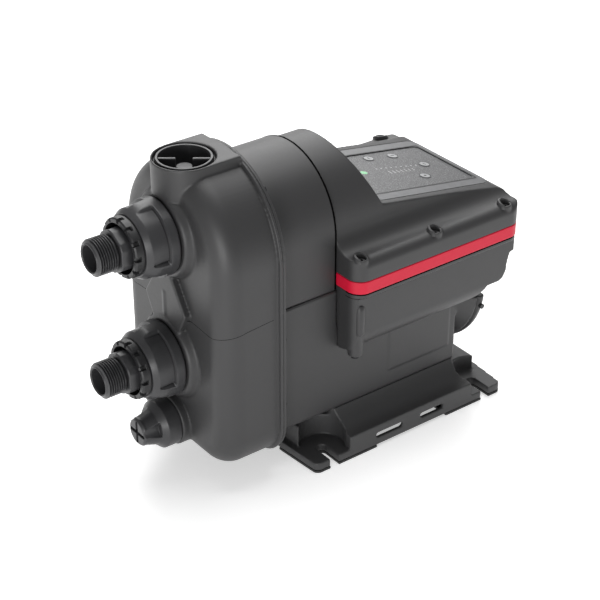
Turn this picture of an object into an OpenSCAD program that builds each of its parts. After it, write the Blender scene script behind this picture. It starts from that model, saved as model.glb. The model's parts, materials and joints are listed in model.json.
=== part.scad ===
// Compact water booster pump: casing with two pipe stubs, motor, control box and slotted base.
// Millimetres, +Z up. The origin is the middle of the footprint, on the floor.

/* [Overall] */
// Reach of the pipe stubs in front of the port bosses
port_reach = 70; // [70:1:90]
// Depth of the casing, from the port bosses to the back of the flange
casing_len = 71; // [71:1:95]
// Length of the domed shell behind the flange
shell_len = 66; // [66:1:90]
// Length of the control box
box_len = 196; // [190:1:230]
// Width of the control box
box_w = 193; // [188:1:220]
// Height of the shaft and of the inlet
axis_z = 115; // [113:1:118]
// Height of the outlet above the inlet
port_gap = 121; // [112:1:126]
// Height of the drain plug
drain_z = 47; // [44:1:50]

/* [Casing] */
// Height of the centre of the dome
dome_z = 218; // [216:1:224]
// Radius of the casing
casing_r = 80; // [78:0.5:84]
// Wall of the casing
casing_wall = 5; // [4:0.5:6]
// Rounding of the front edge of the casing
casing_round = 22; // [16:1:26]
// Underside of the casing
casing_bottom_z = 20; // [16:1:26]
// Rounding of the lower corners of the casing
casing_bottom_r = 36; // [28:1:44]
// How far the port bosses stand in front of the casing
boss_step = 8; // [6:0.5:10]
// Radius of the port bosses
boss_r = 38; // [37:0.5:42]
// Radius of the drain boss
drain_boss_r = 24; // [23:0.5:26]
// Radius of the casing flange
flange_r = 84; // [82:0.5:90]
// Thickness of one of the two flange bands
band_t = 3.5; // [3:0.25:5]
// Half width of the flat land round the priming plug
land_half_w = 28.7; // [28.5:0.1:30]
// Distance of the priming plug behind the port bosses
prime_back = 26.9; // [24:0.5:30]
// Length of the land behind the priming plug
land_back = 38; // [34:1:42]

/* [Pipe ports] */
// Radius of the pipe thread at its crests
thread_r = 16.45; // [14:0.05:17]
// Length of the pipe thread
thread_len = 20; // [16:0.5:22]
// Pitch of the pipe thread
thread_pitch = 2.31; // [1.8:0.01:3]
// Depth of the thread grooves
thread_depth = 1.2; // [0.8:0.1:1.5]
// Bore of the pipe stub
stub_bore_r = 11.8; // [9:0.1:12]
// Radius of the wrench collar
collar_r = 19.5; // [18:0.1:20]
// Length of the wrench collar
collar_len = 12; // [8:0.5:12]
// Radius of the ball behind the collar
ball_r = 24.5; // [24:0.1:25]
// Distance of the ball centre in front of the port boss
ball_reach = 12; // [10:0.5:13]
// Radius of the union nut over its ribs
nut_r = 35.2; // [34.5:0.1:36]
// Length of the union nut
nut_len = 30; // [29:0.5:32]
// Radius of the nut in its hand pockets
nut_pocket_r = 32.4; // [32:0.1:33]
// Width of a rib of the nut, in degrees
nut_rib_angle = 23; // [16:1:30]
// Radius of the threaded neck under the nut
neck_r = 29.5; // [29:0.1:30]

/* [Plugs] */
// Radius of the priming plug
prime_r = 24.4; // [23:0.1:24.6]
// Depth of the priming plug
prime_depth = 26; // [22:1:28]
// Wall of the priming plug cup
prime_wall = 2.2; // [1.8:0.1:2.6]
// Reach of the drain plug in front of its boss
drain_reach = 34; // [30:1:36]
// Radius of the tip of the drain plug
drain_tip_r = 13.5; // [12:0.1:14]
// Radius of the skirt of the drain plug
drain_skirt_r = 22.5; // [21:0.1:23]
// Radius of the thread of the drain plug
drain_thread_r = 14; // [12:0.1:14.5]

/* [Shell and motor] */
// Radius of the domed shell
shell_r = 67.5; // [66:0.5:70]
// Wall of the domed shell and the motor housing front
shell_wall = 4; // [3:0.5:5]
// Height of the seam between the domed shell and the motor housing
split_z = 165; // [162:1:166]
// Radius of the motor housing
motor_r = 69; // [68:0.5:69.5]
// Radius of the stator
stator_r = 60; // [56:0.5:62]
// Radius of the rotor
rotor_r = 34; // [30:0.5:36]
// Length of the rotor and stator packs
pack_len = 80; // [60:1:84]
// Distance of the packs behind the seam
pack_back = 40; // [34:1:42]
// Length of the motor housing behind the seam
motor_len = 161; // [158:1:165]
// Length of the housing legs behind the seam
leg_len = 144; // [140:1:150]
// Radius of the flared lower rim of the end cover
bell_r = 82; // [78:0.5:83]
// Depth of the end cover rim
bell_len = 9; // [7:0.5:10]
// Radius of the rear cap of the end cover
cap_r = 50; // [44:1:52]
// Depth of the rear cap
cap_len = 14; // [10:1:15]

/* [Shaft line] */
// Radius of the shaft
shaft_r = 7; // [6:0.25:8]
// Radius of the impeller
impeller_r = 45; // [38:1:46]
// Number of impeller vanes
impeller_vanes = 6; // [5:1:8]
// Outer radius of the bearings
bearing_r = 16; // [15:0.5:18]
// Width of the bearings
bearing_w = 11; // [9:0.5:12]

/* [Control box] */
// Underside of the red trim
trim_z = 170; // [168:1:172]
// Height of the red trim
trim_h = 12.3; // [8:0.1:14]
// Rounding of the upright corners of the box
box_corner_r = 14; // [10:1:18]
// Height of the side shoulder of the cover
shoulder_z = 203; // [202:0.5:206]
// Height of the front edge of the key panel
panel_front_z = 231.5; // [229:0.5:234]
// Slope of the key panel in degrees
panel_tilt = 9.4; // [8:0.1:10]
// Half width of the panel frame
frame_half_w = 56; // [54:0.5:58]
// Half width of the keypad
keypad_half_w = 42.5; // [40:0.5:44]
// Radius of a key
key_r = 5.5; // [4:0.1:6]
// Travel of a key
key_travel = 0.5; // [0.3:0.1:0.8]
// Wall of the cover and the tray
box_wall = 3; // [2:0.5:3.5]
// Reach of the tray's side walls from the middle
tray_half_w = 92; // [90:0.5:93]
// Underside of the tray's side walls
tray_bottom_z = 107; // [105:1:110]

/* [Base] */
// Width of the base
base_w = 193; // [188:1:220]
// Length of the base over its feet
base_len = 233; // [229:1:246]
// Distance of the middle of the base behind the seam
base_back = 70; // [66:1:74]
// Distance between the foot slots along the pump
slot_gap_x = 184; // [180:1:188]
// Distance between the bolt centres across the pump
slot_gap_y = 154; // [150:1:158]
// Width of a foot slot
slot_w = 10; // [7:0.5:11]
// Height of the feet above the floor
foot_t = 10; // [9:0.5:12]
// Thickness of the rubber pads
pad_t = 2.3; // [2:0.1:3]
// Height of the side bands
band_h = 24; // [22:0.5:27]
// Length of the side bands
band_len = 148; // [140:1:150]
// Height of the seat under the motor housing
seat_z = 40; // [38:0.5:42]
// Wall of the base
base_wall = 4; // [3:0.5:5]
// Radius of the clear ring round a foot slot
pocket_r = 21.5; // [18:0.5:22]

/* [Hidden] */
$fn = 96;
// Play between two pieces that don't move, and running play of shafts and keys
gap = 0.3;
play = 0.05;
// Overrun of every cut past a face
over = 1;

// Places along the pump
x_tip = -(port_reach + casing_len + shell_len + box_len) / 2;
x_boss = x_tip + port_reach;
x_front = x_boss + boss_step;
x_shell = x_boss + casing_len;
x_plate = x_shell - band_t;
x_flange = x_plate - band_t;
x_seam = x_shell + shell_len;
x_rear = x_seam + box_len;
x_prime = x_boss + prime_back;
x_ball = x_boss - ball_reach;
x_base = x_seam + base_back;
outlet_z = axis_z + port_gap;
PORTS_Z = [outlet_z, axis_z];
land_z = dome_z + flange_r;

// Casing flange: how far it reaches below the casing, and how much smaller the second band is
flange_drop = 1.5;
plate_in = 1;

// Pipe stub, nut and lock ring
socket_r = ball_r + play;
nut_tail = 1.5;
x_nut_end = x_boss - nut_tail;
x_nut = x_nut_end - nut_len;
ring_len = 9;
ring_r = 27;
ring_bore_r = 22.8;
ring_notches = 12;
ring_notch_w = 3;
ring_notch_d = 1.4;
x_ring = x_nut - gap - ring_len;
x_collar = x_tip + thread_len + thread_pitch / 2;
collar_flat_share = 0.94;
collar_flat = collar_r * collar_flat_share;
neck_front = 4;
stub_pipe_r = 16.9;
ball_cut = 16;
thread_chamfer = 2;
crest_share = 0.34;
nut_shoulder = 14;
nut_front_r = 28.5;
nut_wide_r = 34.5;
pocket_len = 21;
lip_r = ring_bore_r;
seal_r = 1.5;
stub_seal_axial = 8.5;

// Check valves
valve_bore_r = 14.2;
valve_r = valve_bore_r - play;
valve_seat_r = 10;
poppet_r = 12;
poppet_t = 3;
valve_len = 24;
valve_wall = 1.8;
valve_lift = 5;
valve_start = sqrt(socket_r * socket_r - valve_bore_r * valve_bore_r) + 2 * play;
sleeve_r = 18;
sleeve_end = valve_start + valve_len;
stem_r = 2;
spring_r = 5;
spring_wire = 0.8;
leg_w = 4;
valve_foot_t = 3;

// Priming plug
counter_r = 27;
counter_depth = 6;
prime_seal_r = 1.2;
prime_sleeve_more = 2;
prime_sleeve_z = land_z - prime_depth - prime_sleeve_more;
prime_top = 0.4;
web_t = 3;
web_turn = -37;
web_drop = 1.5;
hub_r = 7;
hub_drop = 9;

// Drain plug
drain_tip_len = 4;
drain_cone_len = 11;
drain_flare_len = 6;
drain_shoulder_r = 17;
drain_thread_len = 14;
drain_seal_r = 1.4;
drain_counter_r = 17;
drain_counter_depth = 4;
x_drain = x_boss - gap - drain_reach;

// Casing screws, on the flange behind the casing wall
screw_in = 5;
screw_ring_r = casing_r - screw_in;
screw_r = 2.5;
screw_head_r = 3.8;
screw_head_t = 3;
screw_len = 16;
screw_boss_r = 6;
// Each screw stands at a height and on one side, and the topmost two lean out from the middle
SCREW_SHARES = [0.28, 0.62];
screw_top_angle = 40;
SIDES = [-1, 1];

// Inner land for the casing seal
seal_land_in = 11.5;
seal_land_len = 6;

// Hydraulics and shaft line
x_sleeve_end = x_ball + sleeve_end;
tube_r = valve_bore_r;
tube_wall = 2.5;
impeller_front = 22;
x_impeller = x_plate - impeller_front;
impeller_w = 15;
eye_r = 13;
hub_disc_r = 13;
shroud_t = 2;
vane_t = 2.2;
diffuser_gap = 3;
diffuser_wall = 3;
diffuser_r = 58;
diffuser_vanes = 8;
x_diffuser = x_impeller - diffuser_gap - diffuser_wall;
nut_hex_r = 7.5;
nut_hex_t = 5;
stud_r = 4;
seat_hub_r = 24;
seat_hub_len = 12;
hub_clear = 2;
seal_face_t = 6;
seal_face_r = 12;
wall_back = 30;
x_wall = x_shell + wall_back;
wall_lip = 3;
wall_t = bearing_w + wall_lip + over;
x_bearing = x_wall + wall_lip;
x_pack = x_seam + pack_back;
x_pack_end = x_pack + pack_len;
air_gap = 1;
winding_len = 13;
winding_in = 3;
x_motor_end = x_seam + motor_len;
x_bell_end = x_motor_end + bell_len;
rear_bearing_back = 8;
x_rear_bearing = x_motor_end - rear_bearing_back - bearing_w;
rear_seat_t = 5;
tank_r = 44;
tank_up = 14;
tank_z = dome_z + tank_up;
tank_wall = 2;
tank_clear = 4;
tank_len = shell_len - 2 * shell_wall - tank_clear;
tank_round = 16;
neck_tube_r = 8;
neck_tube_bore = 4;
sensor_r = 7;
sensor_len = 14;
sensor_y = 30;
sensor_down = 6;
sensor_z = split_z - sensor_down;

// Side panel and side caps of the motor
side_panel_x = 62;
side_panel_len = 73;
side_panel_z = 58;
side_panel_h = 46;
side_panel_t = 0.8;
side_cap_r = 5;
side_cap_t = 1.5;
side_cap_drop = 20;
side_cap_z = axis_z - side_cap_drop;
bell_top_z = tray_bottom_z - over;
// Angles of the end cover's screws, from the +Y side
END_SCREW_ANGLES = [-160, -115, -65, -20];
flare_back = 8;
flare_len = motor_len - leg_len + flare_back;

// Control box
cover_z = trim_z + trim_h;
half_w = box_w / 2;
tray_top_drop = 5;
arch_top_len = 29;
arch_slope = 0.465;
arch_in = 2.5;
arch_r = shell_r - arch_in;
flare_r = 18;
shoulder_r = 9;
frame_t = 2.5;
frame_front = 55.5;
frame_back_len = 137;
keypad_t = 1.6;
keypad_inset = 5;
keypad_len = 125;
keypad_round = 6;
keypad_ledge = 3;
frame_round = 9;
cover_nose_r = 9;
nose_share = 0.3;
trim_w = 3.4;
ledge_in = 0.6;
tray_step_z = 151;
tray_step = 9;
tray_tail_z = 123.5;
tray_tail_in = 22;
tray_tail_r = 9;
tail_rise_share = 0.1;
tail_out_share = 0.6;
tail_up_share = 0.25;
tray_side_r = 20;
tray_rear_in = 2.5;
tray_front_gap = gap;
column_r = 7;
COLUMN_X_SHARES = [0.05, 0.48, 0.91];
cover_screw_in = 7;
cover_screw_y = half_w - cover_screw_in;
pit_r = 4.4;
pit_boss_r = 6.3;
pit_boss_h = 1;
pit_depth = 4;
cover_screw_r = 1.8;
cover_screw_head_r = 3.6;
cover_screw_head_t = 2.4;
cover_screw_len = 26;
boss_drop = 3;
boss_y = tray_half_w - column_r;
boss_back = 1.5;
boss_x = x_seam + column_r + boss_back;
box_screw_len = 14;
board_t = 1.6;
board_half_w = 60;
board_len = 140;
board_front = 34;
board_up = 6;
board_z = axis_z + motor_r + board_up;
post_r = 3.5;
post_inset = 8;
display_seat = 2;
switch_r = 2.5;
led_r = 3.6;
// Keys on the panel: distance behind the panel's front edge along the slope, and place across
KEY_ALONG_SHARES = [0.445, 0.65, 0.77, 0.625];
KEY_ACROSS_SHARES = [0.74, 0.7, 0.05, -0.51];
led_along_share = 0.24;
led_across_share = 0.1;
key_t = 2.2;
key_lip = 0.9;
key_lip_t = 0.8;
gland_y = 52;
gland_z = 138;
gland_r = 9;
gland_bore_r = 3.6;
gland_len = 9;
gland_flange_t = 3;

// Base
foot_round = 6;
foot_taper = 3.4;
slot_x = slot_gap_x / 2;
slot_y = slot_gap_y / 2;
rear_block_len = 107;
front_block_len = 109;
front_block_h = 32;
rear_block_h = 25;
block_half_w = 66;
pad_len = 74;
window_h = 5.5;
window_z = 12.8;
window_front = 43.3;
window_len = 32;
window_two = -10;
window_two_len = 29;
base_screw_r = 3;
base_screw_head_r = 5.2;
base_screw_head_t = 3;
base_screw_len = 14;
base_screw_x = 58;
base_screw_y = 44;
base_boss_r = 8;

function half_w_base() = base_w / 2;

// Extrudes an outline, drawn as across and up, along the pump
module along_x(x0, len) {
  translate([x0, 0, 0])
    rotate([90, 0, 90])
      linear_extrude(len)
        children();
}

// Extrudes an outline, drawn as along and up, across the pump and centred on its middle plane
module across(half) {
  translate([0, half, 0])
    rotate([90, 0, 0])
      linear_extrude(2 * half)
        children();
}

// A round bar along the pump
module rod_x(x0, len, r, z) {
  translate([x0, 0, z])
    rotate([0, 90, 0])
      cylinder(r = r, h = len);
}

// A tube along the pump
module tube_x(x0, len, r, bore, z) {
  difference() {
    rod_x(x0, len, r, z);
    rod_x(x0 - over, len + 2 * over, bore, z);
  }
}

// Turns an outline of radius and distance about an axis along the pump
module turned_x(x0, z) {
  translate([x0, 0, z])
    rotate([0, 90, 0])
      rotate_extrude()
        children();
}

// A rubber ring about an axis along the pump
module ring_x(x0, z, major, minor) {
  turned_x(x0, z)
    translate([major, 0])
      circle(minor, $fn = 32);
}

// An outline with a round top, straight sides and rounded lower corners
module tombstone(r, top_z, bottom_z, corner) {
  translate([0, top_z])
    circle(r);
  translate([-r, bottom_z + corner])
    square([2 * r, top_z - bottom_z - corner]);
  translate([corner - r, bottom_z])
    square([2 * (r - corner), corner + over]);
  for (side = SIDES)
    translate([side * (r - corner), bottom_z + corner])
      circle(corner);
}

// A rectangle from x0 and y0 with its four corners rounded
module rounded_rect(x0, y0, len, width, corner) {
  translate([x0 + corner, y0])
    square([len - 2 * corner, width]);
  translate([x0, y0 + corner])
    square([len, width - 2 * corner]);
  for (x = [x0 + corner, x0 + len - corner])
    for (y = [y0 + corner, y0 + width - corner])
      translate([x, y])
        circle(corner);
}

// Half of the casing's plan, as radius and distance from its front
module dome_profile(r, round, len) {
  square([r - round, len]);
  translate([0, round])
    square([r, len - round]);
  translate([r - round, round])
    intersection() {
      circle(round);
      translate([0, -round])
        square(round);
    }
}

// The rounded form of the casing, with its front edge rounded over the dome, sides and underside
module casing_form(x0, r, round, len, bottom_z, corner) {
  corner_z = bottom_z + corner;
  turned_x(x0, dome_z)
    dome_profile(r, round, len);
  translate([x0, 0, corner_z])
    linear_extrude(dome_z - corner_z)
      rounded_front(r, round, len);
  for (side = SIDES)
    translate([0, side * (r - corner), 0])
      turned_x(x0, corner_z)
        dome_profile(corner, round, len);
  across(r - corner)
    casing_side(x0, round, len, bottom_z, dome_z);
}

// Side view of the casing's middle, with a rounded lower front corner
module casing_side(x0, round, len, bottom_z, top_z) {
  translate([x0, bottom_z + round])
    square([len, top_z - bottom_z - round]);
  translate([x0 + round, bottom_z])
    square([len - round, round + over]);
  translate([x0 + round, bottom_z + round])
    circle(round);
}

// Plan of the casing with its two front corners rounded
module rounded_front(r, round, len) {
  translate([round, -r])
    square([len - round, 2 * r]);
  translate([0, round - r])
    square([round + over, 2 * (r - round)]);
  for (side = SIDES)
    translate([round, side * (r - round)])
      circle(round);
}

// Raised bridge between the two port bosses, drawn as across and up
module bridge_outline() {
  neck_up = outlet_z - boss_r;
  waist_up = 53;
  foot_up = 26;
  waist = axis_z + waist_up;
  foot = axis_z + foot_up;
  top_w = 12;
  waist_w = 31;
  foot_w = 17;
  polygon([
    [top_w, neck_up], [waist_w, waist], [foot_w, foot],
    [-foot_w, foot], [-waist_w, waist], [-top_w, neck_up]
  ]);
}

// A place of each casing screw: across and up
function casing_screws() = [
  for (side = SIDES)
    for (share = SCREW_SHARES)
      [side * screw_ring_r, casing_bottom_z + share * (dome_z - casing_bottom_z)],
  for (side = SIDES) [
    side * screw_ring_r * sin(screw_top_angle),
    dome_z + screw_ring_r * cos(screw_top_angle)
  ]
];

module port_outside(z) {
  rim_in = 1.5;
  foot_out = 3;
  turned_x(x_boss, z)
    polygon([[0, 0], [boss_r - rim_in, 0], [boss_r, rim_in], [boss_r + foot_out, boss_step], [0, boss_step]]);
  rod_x(x_front - over, casing_wall, boss_r, z);
  rod_x(x_ball - neck_front, ball_reach + neck_front + over, neck_r, z);
}

module port_bores(z) {
  rod_x(x_ball - neck_front - over, neck_front + over, socket_r, z);
  translate([x_ball, 0, z])
    sphere(socket_r);
  rod_x(x_ball, sleeve_end + over, valve_bore_r, z);
  ring_x(x_ball + stub_seal_axial, z, stub_seal_major(), seal_r + play);
}

function stub_seal_major() =
  sqrt(pow(ball_r + 2 * play + seal_r, 2) - stub_seal_axial * stub_seal_axial);

module pump_housing() {
  color("#3d3d3f")
    difference() {
      difference() {
        union() {
          difference() {
            casing_outside();
            casing_form(x_front + casing_wall, casing_r - casing_wall, casing_round - casing_wall,
              x_plate - x_front - casing_wall - seal_land_len, casing_bottom_z + casing_wall,
              casing_bottom_r - casing_wall);
            along_x(x_plate - seal_land_len - over, seal_land_len + 2 * over)
              tombstone(casing_r - seal_land_in, dome_z, casing_bottom_z + seal_land_in,
                casing_bottom_r - seal_land_in);
          }
          casing_inside();
        }
        for (z = PORTS_Z)
          port_bores(z);
      }
      prime_bores();
      rod_x(x_boss - over, boss_step + casing_wall + 2 * over, drain_thread_r + play, drain_z);
      rod_x(x_boss - over, drain_counter_depth + over, drain_counter_r, drain_z);
      for (place = casing_screws())
        translate([0, place[0], 0])
          rod_x(x_plate - screw_len + band_t, screw_len + over, screw_r + play, place[1]);
      seal_groove();
    }
}

module casing_outside() {
  arrow_len = 22;
  arrow_w = 3;
  arrow_t = 1;
  arrow_up = 5;
  arrow_z = axis_z + boss_r + arrow_up;
  bridge_t = 1;
  casing_form(x_front, casing_r, casing_round, x_plate - x_front, casing_bottom_z, casing_bottom_r);
  along_x(x_flange, band_t)
    tombstone(flange_r, dome_z, casing_bottom_z - flange_drop, casing_bottom_r + flange_drop);
  for (z = PORTS_Z)
    port_outside(z);
  rod_x(x_boss, boss_step + casing_wall, drain_boss_r, drain_z);
  along_x(x_boss + bridge_t, boss_step)
    bridge_outline();
  translate([x_boss + bridge_t - arrow_t, -arrow_w / 2, arrow_z])
    cube([arrow_t + over, arrow_w, arrow_len]);
  prime_tower();
}

// The upright tower under the priming plug, with a flat land on top and a square back
module prime_tower() {
  nut_top = outlet_z + nut_r + over;
  translate([x_prime, 0, outlet_z])
    cylinder(r = prime_back, h = land_z - outlet_z);
  translate([x_prime, 0, nut_top])
    cylinder(r = land_half_w, h = land_z - nut_top);
  translate([x_prime, -land_half_w, dome_z])
    cube([land_back, 2 * land_half_w, land_z - dome_z]);
}

module casing_inside() {
  skin = casing_wall / 2;
  intersection() {
    casing_form(x_front + skin, casing_r - skin, casing_round - skin, x_plate - x_front - skin,
      casing_bottom_z + skin, casing_bottom_r - skin);
    union() {
      for (z = PORTS_Z)
        rod_x(x_front, x_sleeve_end - x_front, sleeve_r, z);
      translate([x_prime, 0, prime_sleeve_z])
        cylinder(r = land_half_w - over, h = land_z - prime_sleeve_z);
      for (place = casing_screws())
        translate([0, place[0], 0])
          rod_x(x_plate - screw_len - over, screw_len + over, screw_boss_r, place[1]);
    }
  }
}

module prime_bores() {
  translate([x_prime, 0, prime_sleeve_z - over])
    cylinder(r = prime_r + play, h = prime_depth + casing_r);
  translate([x_prime, 0, land_z - counter_depth])
    cylinder(r = counter_r, h = counter_depth + over);
}

// Groove for the seal in the back face of the casing
module seal_groove() {
  along_x(x_plate - seal_r, seal_r + over)
    seal_outline(play);
}

// A closed band that follows the casing wall
module seal_outline(grow) {
  in = seal_land_in - seal_r;
  width = seal_r;
  difference() {
    tombstone(casing_r - in + width + grow, dome_z, casing_bottom_z + in - width - grow,
      casing_bottom_r - in + width + grow);
    tombstone(casing_r - in - grow, dome_z, casing_bottom_z + in + grow, casing_bottom_r - in - grow);
  }
}

module casing_seal() {
  color("#1c1c1c")
    along_x(x_plate - seal_r + play, seal_r - play)
      seal_outline(0);
}

module priming_plug() {
  top = land_z - prime_top;
  floor_z = land_z - prime_depth;
  floor_t = 4;
  color("#454547")
    translate([x_prime, 0, 0]) {
      difference() {
        translate([0, 0, floor_z])
          cylinder(r = prime_r, h = top - floor_z);
        translate([0, 0, floor_z + floor_t])
          cylinder(r = prime_r - prime_wall, h = prime_depth);
      }
      translate([0, 0, floor_z])
        cylinder(r = hub_r, h = top - hub_drop - floor_z);
      rotate([0, 0, web_turn])
        difference() {
          translate([over - prime_r, -web_t / 2, floor_z])
            cube([2 * (prime_r - over), web_t, top - web_drop - floor_z]);
          translate([-hub_r, -web_t, top - hub_drop])
            cube([2 * hub_r, 2 * web_t, hub_drop]);
        }
    }
}

module priming_seal() {
  color("#161616")
    translate([x_prime, 0, land_z - counter_depth + prime_seal_r + play])
      rotate_extrude()
        translate([prime_r + prime_seal_r + play, 0])
          circle(prime_seal_r, $fn = 32);
}

module drain_plug() {
  tip_in = 2;
  slot_w = 3.2;
  slot_d = 5;
  cone = drain_tip_len + drain_cone_len;
  flare = cone + drain_flare_len;
  flute_r = 9;
  flute_out = 7.5;
  flutes = 3;
  flute_turn = -15;
  color("#3a3a3c")
    difference() {
      union() {
        turned_x(x_drain, drain_z)
          polygon([
            [0, 0], [drain_tip_r - tip_in, 0], [drain_tip_r, tip_in], [drain_tip_r, drain_tip_len],
            [drain_shoulder_r, cone], [drain_skirt_r, flare], [drain_skirt_r, drain_reach],
            [0, drain_reach]
          ]);
        rod_x(x_drain + drain_reach - over, drain_thread_len + over, drain_thread_r, drain_z);
      }
      for (turn = [0:flutes - 1])
        translate([x_drain - over, 0, drain_z])
          rotate([flute_turn + turn * 360 / flutes, 0, 0])
            translate([0, -drain_tip_r - flute_out, 0])
              rotate([0, 90, 0])
                cylinder(r = flute_r, h = cone + 2 * over);
      for (turn = [0, 90])
        translate([x_drain - over, 0, drain_z])
          rotate([turn, 0, 0])
            translate([0, -drain_tip_r + tip_in, -slot_w / 2])
              cube([slot_d + over, 2 * (drain_tip_r - tip_in), slot_w]);
    }
}

module drain_seal() {
  color("#161616")
    ring_x(x_boss + drain_counter_depth - drain_seal_r - play, drain_z,
      drain_thread_r + drain_seal_r + play, drain_seal_r);
}

// Pipe stub: threaded end, wrench collar and ball tail
module pipe_stub(z) {
  ridges = floor((thread_len - thread_chamfer) / thread_pitch);
  root = thread_r - thread_depth;
  crest = thread_pitch * crest_share;
  flank = (thread_pitch - crest) / 2;
  color("#4a4a4c")
    difference() {
      union() {
        turned_x(x_tip, z)
          polygon([[0, 0], [root - thread_chamfer / 2, 0], [root, thread_chamfer], [root, thread_len + over],
            [0, thread_len + over]]);
        for (ridge = [0:ridges - 1])
          turned_x(x_tip + thread_chamfer / 2 + ridge * thread_pitch, z)
            polygon([[0, 0], [root, 0], [thread_r, flank], [thread_r, flank + crest], [root, thread_pitch],
              [0, thread_pitch]]);
        intersection() {
          rod_x(x_collar, collar_len, collar_r, z);
          translate([x_collar - over, 0, z])
            rotate([0, 90, 0])
              cylinder(r = collar_flat / cos(30), h = collar_len + 2 * over, $fn = 6);
        }
        rod_x(x_tip + thread_len - over, x_ball - x_tip - thread_len + over, stub_pipe_r, z);
        intersection() {
          translate([x_ball, 0, z])
            sphere(ball_r);
          rod_x(x_ball - ball_cut, 2 * ball_cut, ball_r + over, z);
        }
      }
      rod_x(x_tip - over, port_reach + casing_len, stub_bore_r, z);
    }
}

module stub_seal(z) {
  color("#161616")
    ring_x(x_ball + stub_seal_axial, z, stub_seal_major(), seal_r);
}

// Union nut with three ribs and three shallow hand pockets
module union_nut(z) {
  pocket_angle = 120 - nut_rib_angle;
  color("#3f3f41")
    difference() {
      turned_x(x_nut, z)
        polygon([
          [lip_r, 0], [nut_front_r - over, 0], [nut_front_r + over, over],
          [nut_wide_r - over, nut_shoulder - 2 * over], [nut_wide_r, nut_shoulder],
          [nut_r, nut_len - over], [nut_r - over, nut_len], [lip_r, nut_len]
        ]);
      translate([x_ball, 0, z])
        sphere(socket_r);
      rod_x(x_ball - neck_front - gap, nut_len + over, neck_r + play, z);
      for (third = [0:2])
        translate([x_nut, 0, z])
          rotate([third * 120, 0, 0])
            nut_pocket(pocket_angle);
    }
}

// The space taken off one hand pocket, centred on the lower side
module nut_pocket(angle) {
  reach = 2 * nut_r;
  difference() {
    rotate([0, 90, 0])
      linear_extrude(pocket_len)
        polygon([
          [0, 0], [reach * cos(angle / 2), -reach * sin(angle / 2)], [reach, 0],
          [reach * cos(angle / 2), reach * sin(angle / 2)]
        ]);
    translate([-over, 0, 0])
      rotate([0, 90, 0])
        cylinder(r = nut_pocket_r, h = pocket_len + 2 * over);
  }
}

// Notched ring between the wrench collar and the nut
module lock_ring(z) {
  color("#1e1e20")
    difference() {
      tube_x(x_ring, ring_len, ring_r, ring_bore_r, z);
      for (notch = [0:ring_notches - 1])
        translate([x_ring - over, 0, z])
          rotate([notch * 360 / ring_notches, 0, 0])
            translate([0, ring_r - ring_notch_d, -ring_notch_w / 2])
              cube([ring_len / 2 + over, 2 * ring_notch_d, ring_notch_w]);
    }
}

// Check valve, drawn with its seat at the start of its bore and the flow along +X
module valve_cage() {
  difference() {
    union() {
      tube_x(0, valve_foot_t, valve_r, valve_seat_r, 0);
      tube_x(valve_len - valve_foot_t, valve_foot_t, valve_r, stem_r + play, 0);
      intersection() {
        tube_x(0, valve_len, valve_r, valve_r - valve_wall, 0);
        for (turn = [0, 60, 120])
          rotate([turn, 0, 0])
            translate([0, -valve_r, -leg_w / 2])
              cube([valve_len, 2 * valve_r, leg_w]);
      }
    }
    for (turn = [0:5])
      rotate([turn * 60, 0, 0])
        translate([valve_len - valve_foot_t - over, 0, 0])
          flow_hole();
  }
}

// One flow hole in the back of the valve cage
module flow_hole() {
  hole_r = 3;
  translate([0, (valve_r + stem_r) / 2, 0])
    rotate([0, 90, 0])
      cylinder(r = hole_r, h = valve_foot_t + 2 * over);
}

module valve_poppet() {
  rod_x(valve_foot_t + play, poppet_t, poppet_r, 0);
  rod_x(valve_foot_t + play, valve_len - valve_foot_t, stem_r, 0);
}

module valve_spring() {
  start = valve_foot_t + poppet_t + valve_lift + 2 * play;
  tube_x(start, valve_len - valve_foot_t - play - start, spring_r, spring_r - spring_wire, 0);
}

// Places a valve that is drawn along +X: the inlet opens inwards, the outlet outwards
module at_inlet() {
  translate([x_ball + valve_start, 0, axis_z])
    children();
}

module at_outlet() {
  translate([x_ball + valve_start + valve_len, 0, outlet_z])
    rotate([0, 0, 180])
      children();
}

module outlet_valve_cage() {
  color("#d8d4c8")
    at_outlet()
      valve_cage();
}

module inlet_valve_cage() {
  color("#d8d4c8")
    at_inlet()
      valve_cage();
}

module outlet_valve_poppet() {
  color("#2a2a2a")
    at_outlet()
      valve_poppet();
}

module inlet_valve_poppet() {
  color("#2a2a2a")
    at_inlet()
      valve_poppet();
}

module outlet_valve_spring() {
  color("silver")
    at_outlet()
      valve_spring();
}

module inlet_valve_spring() {
  color("silver")
    at_inlet()
      valve_spring();
}

module suction_tube() {
  flange_t = 2;
  start = x_sleeve_end + gap;
  color("#c9c5b8")
    difference() {
      union() {
        rod_x(start, x_diffuser - gap - start, tube_r + tube_wall, axis_z);
        rod_x(start, flange_t, sleeve_r, axis_z);
      }
      rod_x(start - over, x_diffuser - start + 2 * over, tube_r, axis_z);
    }
}

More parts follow.
